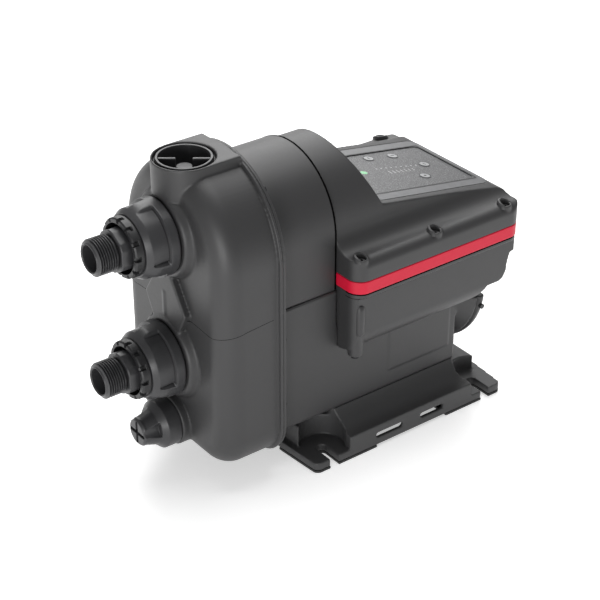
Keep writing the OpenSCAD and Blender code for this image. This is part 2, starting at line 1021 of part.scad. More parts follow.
// Bowl round the impeller with guide vanes, open towards the chamber cover
module diffuser() {
  len = x_plate - x_diffuser - gap;
  bowl_r = diffuser_r - diffuser_wall;
  vane_clear = 2;
  vane_in = impeller_r + vane_clear;
  lean = -30;
  port_turn = 22;
  color("#b9b5a8")
    difference() {
      union() {
        difference() {
          rod_x(x_diffuser, len, diffuser_r, axis_z);
          rod_x(x_diffuser + diffuser_wall, len, bowl_r, axis_z);
        }
        for (vane = [0:diffuser_vanes - 1])
          translate([x_diffuser + diffuser_wall / 2, 0, axis_z])
            rotate([vane * 360 / diffuser_vanes, 0, 0])
              translate([0, vane_in, 0])
                rotate([lean, 0, 0])
                  cube([len - diffuser_wall, diffuser_r - vane_in - over, vane_t]);
      }
      rod_x(x_diffuser - over, diffuser_wall + 2 * over, eye_r + over, axis_z);
      for (port = [0:diffuser_vanes - 1])
        translate([x_diffuser + len / 2, 0, axis_z])
          rotate([port * 360 / diffuser_vanes + port_turn, 0, 0])
            translate([0, 0, bowl_r - over])
              cylinder(r = impeller_w / 3, h = diffuser_wall + 2 * over);
    }
}

module impeller() {
  hub_len = impeller_w;
  lean = 35;
  color("#8f9296")
    difference() {
      union() {
        tube_x(x_impeller, shroud_t, impeller_r, eye_r, axis_z);
        rod_x(x_impeller + impeller_w - shroud_t, shroud_t, impeller_r, axis_z);
        rod_x(x_impeller + shroud_t, hub_len - shroud_t, hub_disc_r - shroud_t, axis_z);
        intersection() {
          tube_x(x_impeller, impeller_w, impeller_r, hub_disc_r, axis_z);
          for (vane = [0:impeller_vanes - 1])
            translate([x_impeller, 0, axis_z])
              rotate([vane * 360 / impeller_vanes, 0, 0])
                translate([0, hub_disc_r, 0])
                  rotate([lean, 0, 0])
                    translate([0, -vane_t, 0])
                      cube([impeller_w, impeller_r, vane_t]);
        }
      }
      rod_x(x_impeller - over, impeller_w + 2 * over, shaft_r, axis_z);
    }
}

module impeller_nut() {
  color("silver")
    difference() {
      translate([x_impeller + shroud_t - nut_hex_t, 0, axis_z])
        rotate([0, 90, 0])
          cylinder(r = nut_hex_r, h = nut_hex_t, $fn = 6);
      rod_x(x_impeller + shroud_t - nut_hex_t - over, nut_hex_t + 2 * over, stud_r, axis_z);
    }
}

// Plate between the casing and the motor, with the hub that holds the standing seal face
module chamber_cover() {
  r = flange_r - plate_in;
  drop = flange_drop - plate_in;
  color("#37373a")
    difference() {
      union() {
        along_x(x_plate, band_t)
          tombstone(r, dome_z, casing_bottom_z - drop, casing_bottom_r + drop);
        rod_x(x_plate, band_t + seat_hub_len, seat_hub_r, axis_z);
      }
      rod_x(x_plate - over, band_t + seat_hub_len + 2 * over, shaft_r + hub_clear, axis_z);
      rod_x(x_plate - over, band_t + seal_face_t + over, seal_face_r + play, axis_z);
      rod_x(x_plate - over, band_t + 2 * over, neck_tube_r + play, tank_z);
      translate([0, sensor_y, 0])
        rod_x(x_plate - over, band_t + 2 * over, sensor_r / 2 + play, sensor_z);
      for (place = casing_screws())
        translate([0, place[0], 0])
          rod_x(x_plate - over, band_t + 2 * over, screw_r + play, place[1]);
    }
}

// A socket screw along the pump, with its head's seat at x0 and its head on the side away from the front
module cap_screw(x0, z) {
  socket_r = 2;
  socket_d = 2;
  difference() {
    union() {
      rod_x(x0 + play, screw_head_t - play, screw_head_r, z);
      rod_x(x0 - screw_len, screw_len + over, screw_r, z);
    }
    translate([x0 + screw_head_t - socket_d, 0, z])
      rotate([0, 90, 0])
        cylinder(r = socket_r, h = socket_d + over, $fn = 6);
  }
}

// The identical screws of the casing and of the motor end cover
module body_screws() {
  color("silver") {
    for (place = casing_screws())
      translate([0, place[0], 0])
        cap_screw(x_shell, place[1]);
    for (place = end_screw_places())
      translate([0, place[0], 0])
        cap_screw(x_bell_end - screw_head_t, place[1]);
  }
}

module shaft() {
  stud_len = 12;
  x_stud = x_impeller + shroud_t - nut_hex_t;
  x_end = x_rear_bearing + bearing_w;
  color("#c4c7cc") {
    rod_x(x_impeller + shroud_t, x_end - x_impeller - shroud_t, shaft_r, axis_z);
    rod_x(x_stud, stud_len, stud_r, axis_z);
  }
}

// Turning half of the shaft seal
module seal_ring() {
  start = x_impeller + impeller_w + play;
  color("#55585c")
    tube_x(start, x_shell - band_t + play - start, seal_face_r - over, shaft_r, axis_z);
}

// Standing half of the shaft seal, seated in the hub of the chamber cover
module seal_seat() {
  color("#e3ded2")
    tube_x(x_plate + 2 * play, band_t + seal_face_t - 2 * play, seal_face_r, shaft_r + over, axis_z);
}

// Plain form of a ball bearing: two rings and a shield between them
module bearing(x0) {
  ring_t = 3;
  shield_in = 1;
  color("#9ea3a8") {
    tube_x(x0, bearing_w, bearing_r, bearing_r - ring_t, axis_z);
    tube_x(x0, bearing_w, shaft_r + ring_t, shaft_r + play, axis_z);
    tube_x(x0 + shield_in, bearing_w - 2 * shield_in, bearing_r - ring_t / 2, shaft_r + ring_t / 2, axis_z);
  }
}

module rotor() {
  color("#7b7d80")
    tube_x(x_pack, pack_len, rotor_r, shaft_r, axis_z);
}

module stator() {
  color("#6a6c70")
    tube_x(x_pack, pack_len, stator_r, rotor_r + air_gap, axis_z);
}

module stator_windings() {
  color("#a8612c")
    for (x0 = [x_pack - winding_len - play, x_pack_end + play])
      tube_x(x0, winding_len, stator_r - winding_in, rotor_r + winding_in, axis_z);
}

// Pressure vessel under the dome, carried by its neck in the chamber cover
module pressure_tank() {
  color("#2f5f8f")
    difference() {
      union() {
        tank_form(x_shell + shell_wall, tank_r, tank_round, tank_len);
        rod_x(x_plate, shell_wall + band_t + over, neck_tube_r, tank_z);
      }
      tank_form(x_shell + shell_wall + tank_wall, tank_r - tank_wall, tank_round - tank_wall,
        tank_len - 2 * tank_wall);
      rod_x(x_plate - over, shell_wall + band_t + tank_wall + 2 * over, neck_tube_bore, tank_z);
    }
}

// A drum with rounded ends along the pump
module tank_form(x0, r, round, len) {
  turned_x(x0, tank_z) {
    square([r - round, len]);
    translate([0, round])
      square([r, len - 2 * round]);
    for (y = [round, len - round])
      translate([r - round, y])
        circle(round);
  }
}

module tank_diaphragm() {
  membrane_t = 1.5;
  color("#202020")
    rod_x(x_shell + shell_wall + tank_len / 2, membrane_t, tank_r - tank_wall - play, tank_z);
}

module pressure_sensor() {
  color("#b7892f")
    translate([0, sensor_y, 0]) {
      rod_x(x_shell + play, sensor_len, sensor_r, sensor_z);
      rod_x(x_plate, band_t + over, sensor_r / 2, sensor_z);
    }
}

module upper_shell() {
  color("#434345")
    difference() {
      along_x(x_shell + play, shell_len - play)
        shell_outline(shell_r, split_z);
      along_x(x_shell - over, shell_len + over - shell_wall)
        shell_outline(shell_r - shell_wall, split_z - over);
      rod_x(x_shell, shell_len + over, motor_r + gap, axis_z);
    }
}

// Round top and straight sides, down to a height
module shell_outline(r, bottom_z) {
  translate([0, dome_z])
    circle(r);
  translate([-r, bottom_z])
    square([2 * r, dome_z - bottom_z]);
}

module motor_housing() {
  front_z = split_z - gap;
  color("#404042")
    difference() {
      union() {
        difference() {
          block(x_shell + play, x_seam - x_shell - play, motor_r, seat_z, front_z);
          block(x_shell - over, wall_back + over, motor_r - shell_wall, seat_z + shell_wall, front_z + over);
        }
        block(x_seam - over, leg_len + over, motor_r, seat_z, axis_z);
        rod_x(x_wall, x_motor_end - x_wall, motor_r, axis_z);
        intersection() {
          turned_x(x_seam + leg_len - flare_back, axis_z)
            polygon([[0, 0], [motor_r - over, 0], [bell_r - over, flare_len], [0, flare_len]]);
          block(x_seam, motor_len, bell_r, 0, bell_top_z);
        }
        for (side = SIDES)
          translate([x_seam + side_panel_x, side * motor_r - side_panel_t, side_panel_z])
            cube([side_panel_len, 2 * side_panel_t, side_panel_h]);
      }
      rod_x(x_wall + wall_t, x_motor_end - x_wall, stator_r + play, axis_z);
      rod_x(x_wall - over, wall_t + 2 * over, shaft_r + over, axis_z);
      rod_x(x_bearing, wall_t, bearing_r + play, axis_z);
      for (place = base_screw_places())
        translate([place[0], place[1], seat_z - over])
          cylinder(r = base_screw_r + play, h = base_screw_len - base_wall + over);
      for (place = end_screw_places())
        translate([0, place[0], 0])
          rod_x(x_motor_end - screw_len, screw_len + over, screw_r + play, place[1]);
    }
}

// A block along the pump, symmetric about its middle plane
module block(x0, len, half, low, high) {
  translate([x0, -half, low])
    cube([len, 2 * half, high - low]);
}

function end_screw_places() = [
  for (angle = END_SCREW_ANGLES)
    [(stator_r + motor_r) / 2 * cos(angle), axis_z + (stator_r + motor_r) / 2 * sin(angle)]
];

function base_screw_places() = [
  for (x = [-base_screw_x, base_screw_x])
    for (side = SIDES)
      [x_base + x, side * base_screw_y]
];

// End cover: a full disc on the motor, a flared lower rim and a low rear cap
module motor_end_cover() {
  rim_round = 3;
  cap_round = 4;
  color("#3c3c3e")
    difference() {
      union() {
        rod_x(x_motor_end + play, bell_len, motor_r, axis_z);
        rod_x(x_motor_end - rear_bearing_back - rear_seat_t, rear_bearing_back + rear_seat_t + over,
          bearing_r + shell_wall, axis_z);
        intersection() {
          union() {
            turned_x(x_motor_end + play, axis_z)
              polygon([[0, 0], [bell_r - rim_round, 0], [bell_r, rim_round], [bell_r, bell_len - rim_round],
                [bell_r - rim_round, bell_len], [0, bell_len]]);
            turned_x(x_bell_end - over, axis_z)
              polygon([[0, 0], [cap_r, 0], [cap_r, cap_len - cap_round], [cap_r - cap_round, cap_len + over],
                [0, cap_len + over]]);
          }
          block(x_motor_end, bell_len + cap_len + over, bell_r + over, 0, bell_top_z);
        }
      }
      rod_x(x_rear_bearing - over, bearing_w + over, bearing_r + play, axis_z);
      for (place = end_screw_places())
        translate([0, place[0], 0]) {
          rod_x(x_motor_end - over, bell_len + 2 * over, screw_r + play, place[1]);
          rod_x(x_bell_end - screw_head_t, screw_head_t + over, screw_head_r + play, place[1]);
        }
      for (side = SIDES)
        translate([x_motor_end + bell_len / 2, side * cap_face_y(), side_cap_z])
          rotate([-side * 90, 0, 0])
            cylinder(r = side_cap_r / 2 + play, h = bell_r);
    }
}

function cap_face_y() = bell_r - 2 * side_cap_t;

module side_screw_caps() {
  color("#343436")
    for (side = SIDES)
      translate([x_motor_end + bell_len / 2, side * cap_face_y(), side_cap_z])
        rotate([-side * 90, 0, 0])
          cylinder(r = side_cap_r / 2, h = 2 * side_cap_t);
}

// Plan of the control box, with rounded corners
module box_plan(in) {
  rounded_rect(x_seam + in, in - half_w, box_len - 2 * in, box_w - 2 * in, box_corner_r - in);
}

// Cross-section of the cover: arch, concave flanks, shoulders and upright lower sides
module cover_section(in) {
  r = arch_r - in;
  flare = flare_r + in;
  side = half_w - in;
  shoulder = shoulder_z - in;
  round = shoulder_r - in;
  foot = r + flare;
  translate([0, dome_z])
    circle(r);
  translate([-r, cover_z])
    square([2 * r, dome_z - cover_z]);
  translate([-side, cover_z])
    square([2 * side, shoulder - round - cover_z]);
  translate([round - side, cover_z])
    square([2 * (side - round), shoulder - cover_z]);
  for (hand = SIDES) {
    translate([hand * (side - round), shoulder - round])
      circle(round);
    difference() {
      translate([hand * (r + flare / 2) - flare / 2, shoulder - over])
        square([flare, flare + over]);
      translate([hand * foot, shoulder + flare])
        circle(flare);
      translate([hand * (foot + flare) - flare, shoulder])
        square([2 * flare, 2 * flare]);
    }
  }
}

// Side view of the cover: arch, its sloping back, the key panel and the rounded rear edge
module cover_side(in) {
  slope = tan(panel_tilt);
  top = dome_z + shell_r;
  x_arch = x_seam + arch_top_len;
  panel_x = x_seam + frame_front;
  rear = x_rear - in;
  nose = cover_nose_r;
  sunk = in > 0 ? in + frame_t - over : 0;
  front_z = panel_front_z - sunk;
  rear_z = front_z - slope * (x_rear - nose - panel_x);
  x_bend = x_arch - in + arch_slope * (top - front_z);
  polygon([
    [x_seam + in, cover_z - over], [x_seam + in, top], [x_arch - in, top],
    [x_bend, front_z + slope * (panel_x - x_bend)],
    [x_rear - nose, rear_z], [rear - nose * nose_share, rear_z - nose * nose_share], [rear, rear_z - nose],
    [rear, cover_z - over]
  ]);
}

module cover_solid(in) {
  intersection() {
    along_x(x_seam, box_len)
      cover_section(in);
    across(box_w)
      cover_side(in);
    translate([0, 0, cover_z])
      linear_extrude(box_w)
        box_plan(in);
  }
}

// Places things on the key panel: x runs down the slope from its front edge, z stands off it
module on_panel() {
  translate([x_seam + frame_front, 0, panel_front_z])
    rotate([0, panel_tilt, 0])
      children();
}

function column_places() = [
  for (share = COLUMN_X_SHARES)
    for (side = SIDES)
      [x_seam + share * box_len, side * cover_screw_y]
];

module control_cover() {
  color("#414143")
    difference() {
      union() {
        difference() {
          cover_solid(0);
          translate([0, 0, -over])
            cover_solid(box_wall);
        }
        intersection() {
          cover_solid(0);
          for (place = column_places())
            translate([place[0], place[1], cover_z])
              cylinder(r = column_r, h = shoulder_z);
        }
        for (place = column_places())
          translate([place[0], place[1], shoulder_z - pit_depth])
            cylinder(r = pit_boss_r, h = pit_depth + pit_boss_h);
      }
      for (place = column_places())
        translate([place[0], place[1], 0]) {
          translate([0, 0, shoulder_z - pit_depth])
            cylinder(r = pit_r, h = pit_depth + pit_boss_h + over);
          translate([0, 0, cover_z - over])
            cylinder(r = cover_screw_r + play, h = shoulder_z);
        }
      rod_x(x_seam - over, motor_len, motor_r + gap, axis_z);
      on_panel() {
        translate([0, 0, -frame_t])
          linear_extrude(frame_t + over)
            frame_outline(0);
        translate([keypad_inset + keypad_ledge, keypad_ledge - keypad_half_w, -box_wall * 3])
          cube([keypad_len - 2 * keypad_ledge, 2 * (keypad_half_w - keypad_ledge), box_wall * 3]);
      }
    }
}

module cover_screws() {
  color("#202022")
    for (place = column_places())
      translate([place[0], place[1], shoulder_z - pit_depth + play]) {
        difference() {
          cylinder(r = cover_screw_head_r, h = cover_screw_head_t);
          translate([0, 0, cover_screw_head_t / 2])
            cylinder(r = cover_screw_r, h = cover_screw_head_t, $fn = 6);
        }
        translate([0, 0, -cover_screw_len])
          cylinder(r = cover_screw_r, h = cover_screw_len + over);
      }
}

// Outline of the panel frame on the slope
module frame_outline(in) {
  rounded_rect(in - frame_t, in - frame_half_w, frame_back_len - 2 * in + frame_t,
    2 * (frame_half_w - in), frame_round);
}

// Outline of the keypad on the slope
module keypad_outline(in) {
  rounded_rect(keypad_inset + in, in - keypad_half_w, keypad_len - 2 * in,
    2 * (keypad_half_w - in), keypad_round);
}

module panel_frame() {
  color("#b4b4b8")
    intersection() {
      on_panel()
        translate([0, 0, play - frame_t])
          linear_extrude(frame_t - 2 * play)
            difference() {
              frame_outline(play);
              keypad_outline(0);
            }
      cover_front_trim();
    }
}

// Space behind the sloping back of the arch
module cover_front_trim() {
  panel_x = x_seam + frame_front;
  reach = box_len;
  across(half_w)
    polygon([
      [panel_x + play, 0], [panel_x + play, panel_front_z + over], [panel_x + reach, panel_front_z + over],
      [panel_x + reach, 0]
    ]);
}

function key_place(i) = [
  KEY_ALONG_SHARES[i] * frame_back_len,
  KEY_ACROSS_SHARES[i] * keypad_half_w
];

module keypad() {
  color("#5c5e62")
    on_panel()
      difference() {
        translate([0, 0, play - frame_t])
          linear_extrude(keypad_t)
            keypad_outline(play);
        for (i = [0:3])
          translate([key_place(i)[0], key_place(i)[1], -2 * frame_t])
            cylinder(r = key_r + play, h = 3 * frame_t);
        translate([led_along_share * frame_back_len, led_across_share * keypad_half_w, -2 * frame_t])
          cylinder(r = led_r + play, h = 3 * frame_t);
      }
}

// A round key whose head stands in the keypad and whose foot lies under it
module panel_key(i) {
  color("#d5d7d9")
    on_panel()
      translate([key_place(i)[0], key_place(i)[1], 0]) {
        translate([0, 0, -frame_t])
          cylinder(r = key_r, h = key_t);
        translate([0, 0, -frame_t - key_lip_t])
          cylinder(r = key_r + key_lip, h = key_lip_t);
      }
}

module status_light() {
  color("#27c46a")
    on_panel()
      translate([led_along_share * frame_back_len, led_across_share * keypad_half_w, play - frame_t])
        cylinder(r = led_r, h = keypad_t);
}

module stripe_trim() {
  color("#d7374b")
    difference() {
      translate([0, 0, trim_z + play])
        linear_extrude(trim_h - 2 * play)
          difference() {
            box_plan(0);
            box_plan(trim_w);
          }
      rod_x(x_seam - over, trim_w + 2 * over, motor_r + gap, axis_z);
    }
}

// Cross-section of the tray under the trim: a ledge, side walls that curve in, and the lower ends
module tray_section() {
  side = tray_half_w;
  ledge = trim_z - tray_top_drop;
  turn = tray_bottom_z + tray_side_r;
  translate([ledge_in - half_w, ledge])
    square([box_w - 2 * ledge_in, tray_top_drop]);
  translate([-side, turn])
    square([2 * side, ledge - turn + over]);
  translate([tray_side_r - side, tray_bottom_z])
    square([2 * (side - tray_side_r), tray_side_r + over]);
  for (hand = SIDES)
    translate([hand * (side - tray_side_r), turn])
      circle(tray_side_r);
}

// Side view of the tray, with a step under the rear ledge and a rounded tail
module tray_side() {
  tail_x = x_rear - tray_tail_in;
  wall_x = x_rear - tray_step - tray_rear_in;
  polygon([
    [x_seam + tray_front_gap, tray_bottom_z - over],
    [x_motor_end - motor_len * tail_rise_share, tray_bottom_z - over],
    [x_motor_end + gap, tray_tail_z], [tail_x, tray_tail_z],
    [tail_x + tray_tail_r * tail_out_share, tray_tail_z + tray_tail_r * tail_up_share],
    [wall_x - over, tray_tail_z + tray_tail_r],
    [wall_x, tray_tail_z + 2 * tray_tail_r], [x_rear - tray_step, tray_step_z],
    [x_rear - tray_rear_in, tray_step_z + over], [x_rear - tray_rear_in, trim_z + over],
    [x_seam + tray_front_gap, trim_z + over]
  ]);
}

module tray_solid() {
  intersection() {
    along_x(x_seam, box_len)
      tray_section();
    across(box_w)
      tray_side();
    linear_extrude(trim_z)
      box_plan(ledge_in);
  }
}

// Inside of the tray: a saddle over the motor and a pocket on each side
module tray_hollow() {
  saddle_r = motor_r + gap + box_wall;
  side = tray_half_w - box_wall;
  inner_bottom = tray_bottom_z + box_wall;
  end = x_rear - tray_step - tray_rear_in - 2 * box_wall;
  difference() {
    translate([x_seam + tray_front_gap + box_wall, -side, inner_bottom + tray_side_r])
      cube([end - x_seam - tray_front_gap - box_wall, 2 * side, trim_z]);
    rod_x(x_seam - over, motor_len + bell_len + box_wall + over, saddle_r, axis_z);
  }
}

module control_box() {
  color("#3e3e40")
    difference() {
      union() {
        difference() {
          tray_solid();
          tray_hollow();
        }
        intersection() {
          tray_solid();
          for (place = column_places())
            translate([place[0], place[1], trim_z - cover_screw_len])
              cylinder(r = column_r, h = cover_screw_len);
        }
        for (side = SIDES)
          translate([boss_x, side * boss_y, tray_bottom_z - boss_drop])
            cylinder(r = column_r, h = boss_drop + tray_side_r);
        for (place = board_posts())
          translate([place[0], place[1], axis_z])
            cylinder(r = post_r, h = board_z - axis_z - play);
      }
      rod_x(x_seam - over, motor_len + bell_len + gap + over, motor_r + gap, axis_z);
      block(x_seam - over, motor_len + over, motor_r + gap, 0, axis_z);
      for (place = column_places())
        translate([place[0], place[1], trim_z - cover_screw_len])
          cylinder(r = cover_screw_r + play, h = cover_screw_len + over);
      translate([x_rear - box_len / 2, gland_y, gland_z])
        rotate([0, 90, 0])
          cylinder(r = gland_r - gland_flange_t + play, h = box_len);
      translate([x_rear - tray_step - tray_rear_in, gland_y, gland_z])
        rotate([0, 90, 0])
          cylinder(r = gland_r + play, h = gland_len);
      for (side = SIDES)
        translate([boss_x, side * boss_y, tray_bottom_z - boss_drop - over])
          cylinder(r = screw_r + play, h = box_screw_len + over);
    }
}

function board_posts() = [
  for (x = [post_inset, board_len - post_inset])
    for (side = SIDES)
      [x_seam + board_front + x, side * (board_half_w - post_inset)]
];

module circuit_board() {
  color("#1f6b3a")
    translate([x_seam + board_front, -board_half_w, board_z])
      cube([board_len, 2 * board_half_w, board_t]);
}

// Relay, coil and capacitor blocks on the board
module board_parts() {
  part_z = board_z + board_t + play;
  part_h = 9;
  relay_l = 28;
  relay_w = 18;
  coil_r = 9;
  relay_x = 30;
  coil_x = 74;
  side_y = 26;
  color("#2d3138")
    for (side = SIDES) {
      translate([x_seam + board_front + relay_x, side * side_y - relay_w / 2, part_z])
        cube([relay_l, relay_w, part_h]);
      translate([x_seam + board_front + coil_x, side * side_y, part_z])
        cylinder(r = coil_r, h = part_h);
    }
}

// The display board, seated against the underside of the panel, with a switch under each key
module display_board() {
  board_top = -(box_wall + frame_t) * cos(panel_tilt) - play;
  switch_top = -frame_t - key_lip_t - key_travel - play;
  color("#205c8a")
    on_panel() {
      translate([0, 0, board_top - board_t])
        linear_extrude(board_t)
          keypad_outline(-display_seat);
      for (i = [0:3])
        translate([key_place(i)[0], key_place(i)[1], board_top - board_t / 2])
          cylinder(r = switch_r, h = switch_top - board_top + board_t / 2);
    }
}

module cable_gland() {
  x0 = x_rear - tray_step - tray_rear_in;
  color("#1b1b1b")
    difference() {
      translate([x0, gland_y, gland_z])
        rotate([0, 90, 0])
          union() {
            translate([0, 0, play])
              cylinder(r = gland_r, h = gland_len);
            translate([0, 0, -2 * box_wall])
              cylinder(r = gland_r - gland_flange_t, h = 2 * box_wall + over);
          }
      translate([x0 - 2 * box_wall - over, gland_y, gland_z])
        rotate([0, 90, 0])
          cylinder(r = gland_bore_r, h = 2 * box_wall + gland_len + 3 * over);
    }
}

// Screws in the two bosses under the front of the tray
module box_screws() {
  head_t = 3;
  color("silver")
    for (side = SIDES)
      translate([boss_x, side * boss_y, tray_bottom_z - boss_drop - head_t]) {
        cylinder(r = screw_head_r, h = head_t - play);
        cylinder(r = screw_r, h = box_screw_len);
      }
}

// Plan of the base over its feet, with tapered ends
module base_plan() {
  end_x = base_len / 2 - foot_round;
  hull()
    for (end = SIDES)
      for (side = SIDES) {
        translate([x_base + end * (end_x - foot_taper), side * (half_w_base() - foot_round)])
          circle(foot_round, $fn = 32);
        translate([x_base + end * end_x, side * half_w_base() / 2])
          circle(foot_round, $fn = 32);
      }
}

// Cross-section of the base above its feet: side bands, concave skirts and the motor seat
module base_section() {
  rise = seat_z - band_h;
  run = half_w_base() - motor_r;
  sweep_r = (run * run + rise * rise) / (2 * rise);
  difference() {
    translate([-half_w_base(), pad_t])
      square([base_w, seat_z - pad_t]);
    for (side = SIDES)
      translate([side * half_w_base(), band_h + sweep_r])
        circle(sweep_r);
  }
}

function slot_places() = [
  for (end = SIDES)
    for (side = SIDES)
      [x_base + end * slot_x, side]
];

module foot_slots(z0, height) {
  for (place = slot_places()) {
    translate([place[0], place[1] * slot_y, z0])
      cylinder(r = slot_w / 2, h = height);
    translate([place[0] - slot_w / 2, place[1] > 0 ? slot_y : -slot_y - half_w_base(), z0])
      cube([slot_w, half_w_base(), height]);
  }
}

module base_plate() {
  color("#2b2b2d")
    difference() {
      union() {
        translate([0, 0, pad_t])
          linear_extrude(foot_t - pad_t)
            base_plan();
        intersection() {
          along_x(x_base - base_len / 2, base_len)
            base_section();
          union() {
            block(x_base - band_len / 2, band_len, half_w_base(), 0, seat_z);
            block(x_base - front_block_len, front_block_len, block_half_w, 0, front_block_h);
            block(x_base - over, rear_block_len + over, block_half_w, 0, rear_block_h);
          }
        }
      }
      for (place = slot_places())
        translate([place[0], place[1] * slot_y, foot_t])
          cylinder(r = pocket_r, h = seat_z);
      foot_slots(0, seat_z);
      base_hollows();
      base_windows();
      for (place = base_screw_places())
        translate([place[0], place[1], 0]) {
          cylinder(r = base_screw_r + play, h = seat_z + over);
          cylinder(r = base_screw_head_r + play, h = seat_z - base_wall);
        }
    }
}

// The open underside, in three bays with webs between them
module base_hollows() {
  bay_half = block_half_w - base_wall;
  mid_half = slot_x - pocket_r - base_wall;
  top = seat_z - base_wall - base_screw_head_t - base_wall;
  side_top = band_h - base_wall;
  web = base_wall;
  screw_x = base_screw_x - base_boss_r;
  translate([x_base - screw_x, -bay_half, -over])
    cube([screw_x - web / 2, 2 * bay_half, top + over]);
  translate([x_base + web / 2, -bay_half, -over])
    cube([screw_x - web / 2, 2 * bay_half, top + over]);
  for (side = SIDES)
    translate([x_base - mid_half, side > 0 ? bay_half + web : -half_w_base() + web, -over])
      cube([2 * mid_half, half_w_base() - bay_half - 2 * web, side_top + over]);
}

// Long windows through both side bands
module base_windows() {
  reach = half_w_base() + over;
  for (window = [[-window_front, window_len], [-window_two, window_two_len]])
    across(reach)
      rounded_rect(x_base + window[0], window_z - window_h / 2, window[1], window_h, window_h / 2 - play);
}

module foot_pads() {
  end_in = base_len / 2 - pad_len;
  color("#1a1a1a")
    difference() {
      linear_extrude(pad_t - play)
        base_plan();
      block(x_base - end_in, 2 * end_in, base_w, -over, seat_z);
      block(x_base - base_len, 2 * base_len, block_half_w - pocket_r, -over, seat_z);
      translate([0, 0, -over])
        foot_slots(0, seat_z);
      for (place = base_screw_places())
        translate([place[0], place[1], -over])
          cylinder(r = base_screw_head_r + play, h = seat_z);
    }
}

module base_screws() {
  color("silver")
    for (place = base_screw_places())
      translate([place[0], place[1], seat_z - base_wall - base_screw_head_t]) {
        cylinder(r = base_screw_head_r, h = base_screw_head_t - play);
        cylinder(r = base_screw_r, h = base_screw_len);
      }
}

pump_housing();
priming_plug();
priming_seal();
drain_plug();
drain_seal();
pipe_stub(outlet_z);  // outlet_stub
union_nut(outlet_z);  // outlet_union_nut
lock_ring(outlet_z);  // outlet_lock_ring
stub_seal(outlet_z);  // outlet_stub_seal
pipe_stub(axis_z);  // inlet_stub
union_nut(axis_z);  // inlet_union_nut
lock_ring(axis_z);  // inlet_lock_ring
stub_seal(axis_z);  // inlet_stub_seal
outlet_valve_cage();
outlet_valve_poppet();
outlet_valve_spring();
inlet_valve_cage();
inlet_valve_poppet();
inlet_valve_spring();
suction_tube();
diffuser();
impeller();
impeller_nut();
chamber_cover();
casing_seal();
body_screws();
shaft();
seal_ring();
seal_seat();
bearing(x_bearing);  // front_bearing
bearing(x_rear_bearing);  // rear_bearing
rotor();
stator();
stator_windings();
pressure_tank();
tank_diaphragm();
pressure_sensor();
upper_shell();
motor_housing();
motor_end_cover();
base_screws();
side_screw_caps();
control_box();
box_screws();
stripe_trim();
control_cover();
cover_screws();
panel_frame();
keypad();
panel_key(0);  // key_power
panel_key(1);  // key_raise
panel_key(2);  // key_lower
panel_key(3);  // key_reset
status_light();
circuit_board();
board_parts();
display_board();
cable_gland();
base_plate();
foot_pads();
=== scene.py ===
"""Looks of a compact water booster pump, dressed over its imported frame.

The frame is the part's own: +X runs from the pipe stubs to the motor end, +Z is up and the floor is
at zero. Lengths are in metres, most of them written as millimetres times MM. Where a docstring or a
comment says millimetres, they are plain numbers of millimetres.
"""

import json
import logging
import math
from dataclasses import dataclass, field
from enum import Enum
from typing import Callable, Sequence

import bmesh
import bpy
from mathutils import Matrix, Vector
from mathutils.bvhtree import BVHTree

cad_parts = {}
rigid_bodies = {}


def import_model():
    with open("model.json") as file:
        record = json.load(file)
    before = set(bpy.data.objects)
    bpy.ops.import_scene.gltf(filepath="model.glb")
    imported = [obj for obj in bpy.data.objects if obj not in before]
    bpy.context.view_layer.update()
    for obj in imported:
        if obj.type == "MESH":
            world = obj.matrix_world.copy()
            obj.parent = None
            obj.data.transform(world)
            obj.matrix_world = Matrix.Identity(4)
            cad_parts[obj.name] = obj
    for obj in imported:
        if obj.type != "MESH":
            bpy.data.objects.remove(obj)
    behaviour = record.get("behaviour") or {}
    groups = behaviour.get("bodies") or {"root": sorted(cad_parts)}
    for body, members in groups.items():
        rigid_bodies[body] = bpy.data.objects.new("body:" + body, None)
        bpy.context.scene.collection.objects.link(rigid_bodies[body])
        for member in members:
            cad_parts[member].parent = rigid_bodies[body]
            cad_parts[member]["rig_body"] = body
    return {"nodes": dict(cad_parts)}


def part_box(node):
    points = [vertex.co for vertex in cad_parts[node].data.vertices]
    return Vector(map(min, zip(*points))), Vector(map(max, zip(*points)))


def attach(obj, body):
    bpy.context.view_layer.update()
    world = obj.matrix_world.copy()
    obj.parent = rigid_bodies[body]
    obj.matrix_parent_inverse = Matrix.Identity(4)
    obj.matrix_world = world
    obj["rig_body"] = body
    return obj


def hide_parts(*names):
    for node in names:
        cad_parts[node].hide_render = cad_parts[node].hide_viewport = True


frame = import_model()

MM = 0.001
FULL_TURN = 2.0 * math.pi
LOG = logging.getLogger("pump")

Piece = bpy.types.Object
Mesh = bpy.types.Mesh
Material = bpy.types.Material
Tree = bpy.types.NodeTree
Node = bpy.types.Node
Socket = bpy.types.NodeSocket
Colour = tuple[float, float, float]
Place = tuple[float, float, float]
Spot = tuple[float, float]
Loop = list[Spot]
Shots = list[tuple[Vector, Vector]]
Reach = Callable[[float, float], float]

# Each side of the pump, with the sign of its Y.
HANDS = (("right", -1.0), ("left", 1.0))

# Millimetres from the pump's middle, or from an axis, at which shots at a skin start.
AWAY = 250.0

# Heights of the two ports' axes.
PORT_HEIGHTS = {"outlet": 236.0 * MM, "inlet": 115.0 * MM}

# Directions at 0 and 90 degrees of shots round an upright axis and round an axis along X.
LEVEL = (Vector((1.0, 0.0, 0.0)), Vector((0.0, 1.0, 0.0)))
ACROSS = (Vector((0.0, 1.0, 0.0)), Vector((0.0, 0.0, 1.0)))


# Shader groups


class Feed(Enum):
    """Kinds of socket that a shader group shows."""

    VALUE = "NodeSocketFloat"
    COLOUR = "NodeSocketColor"


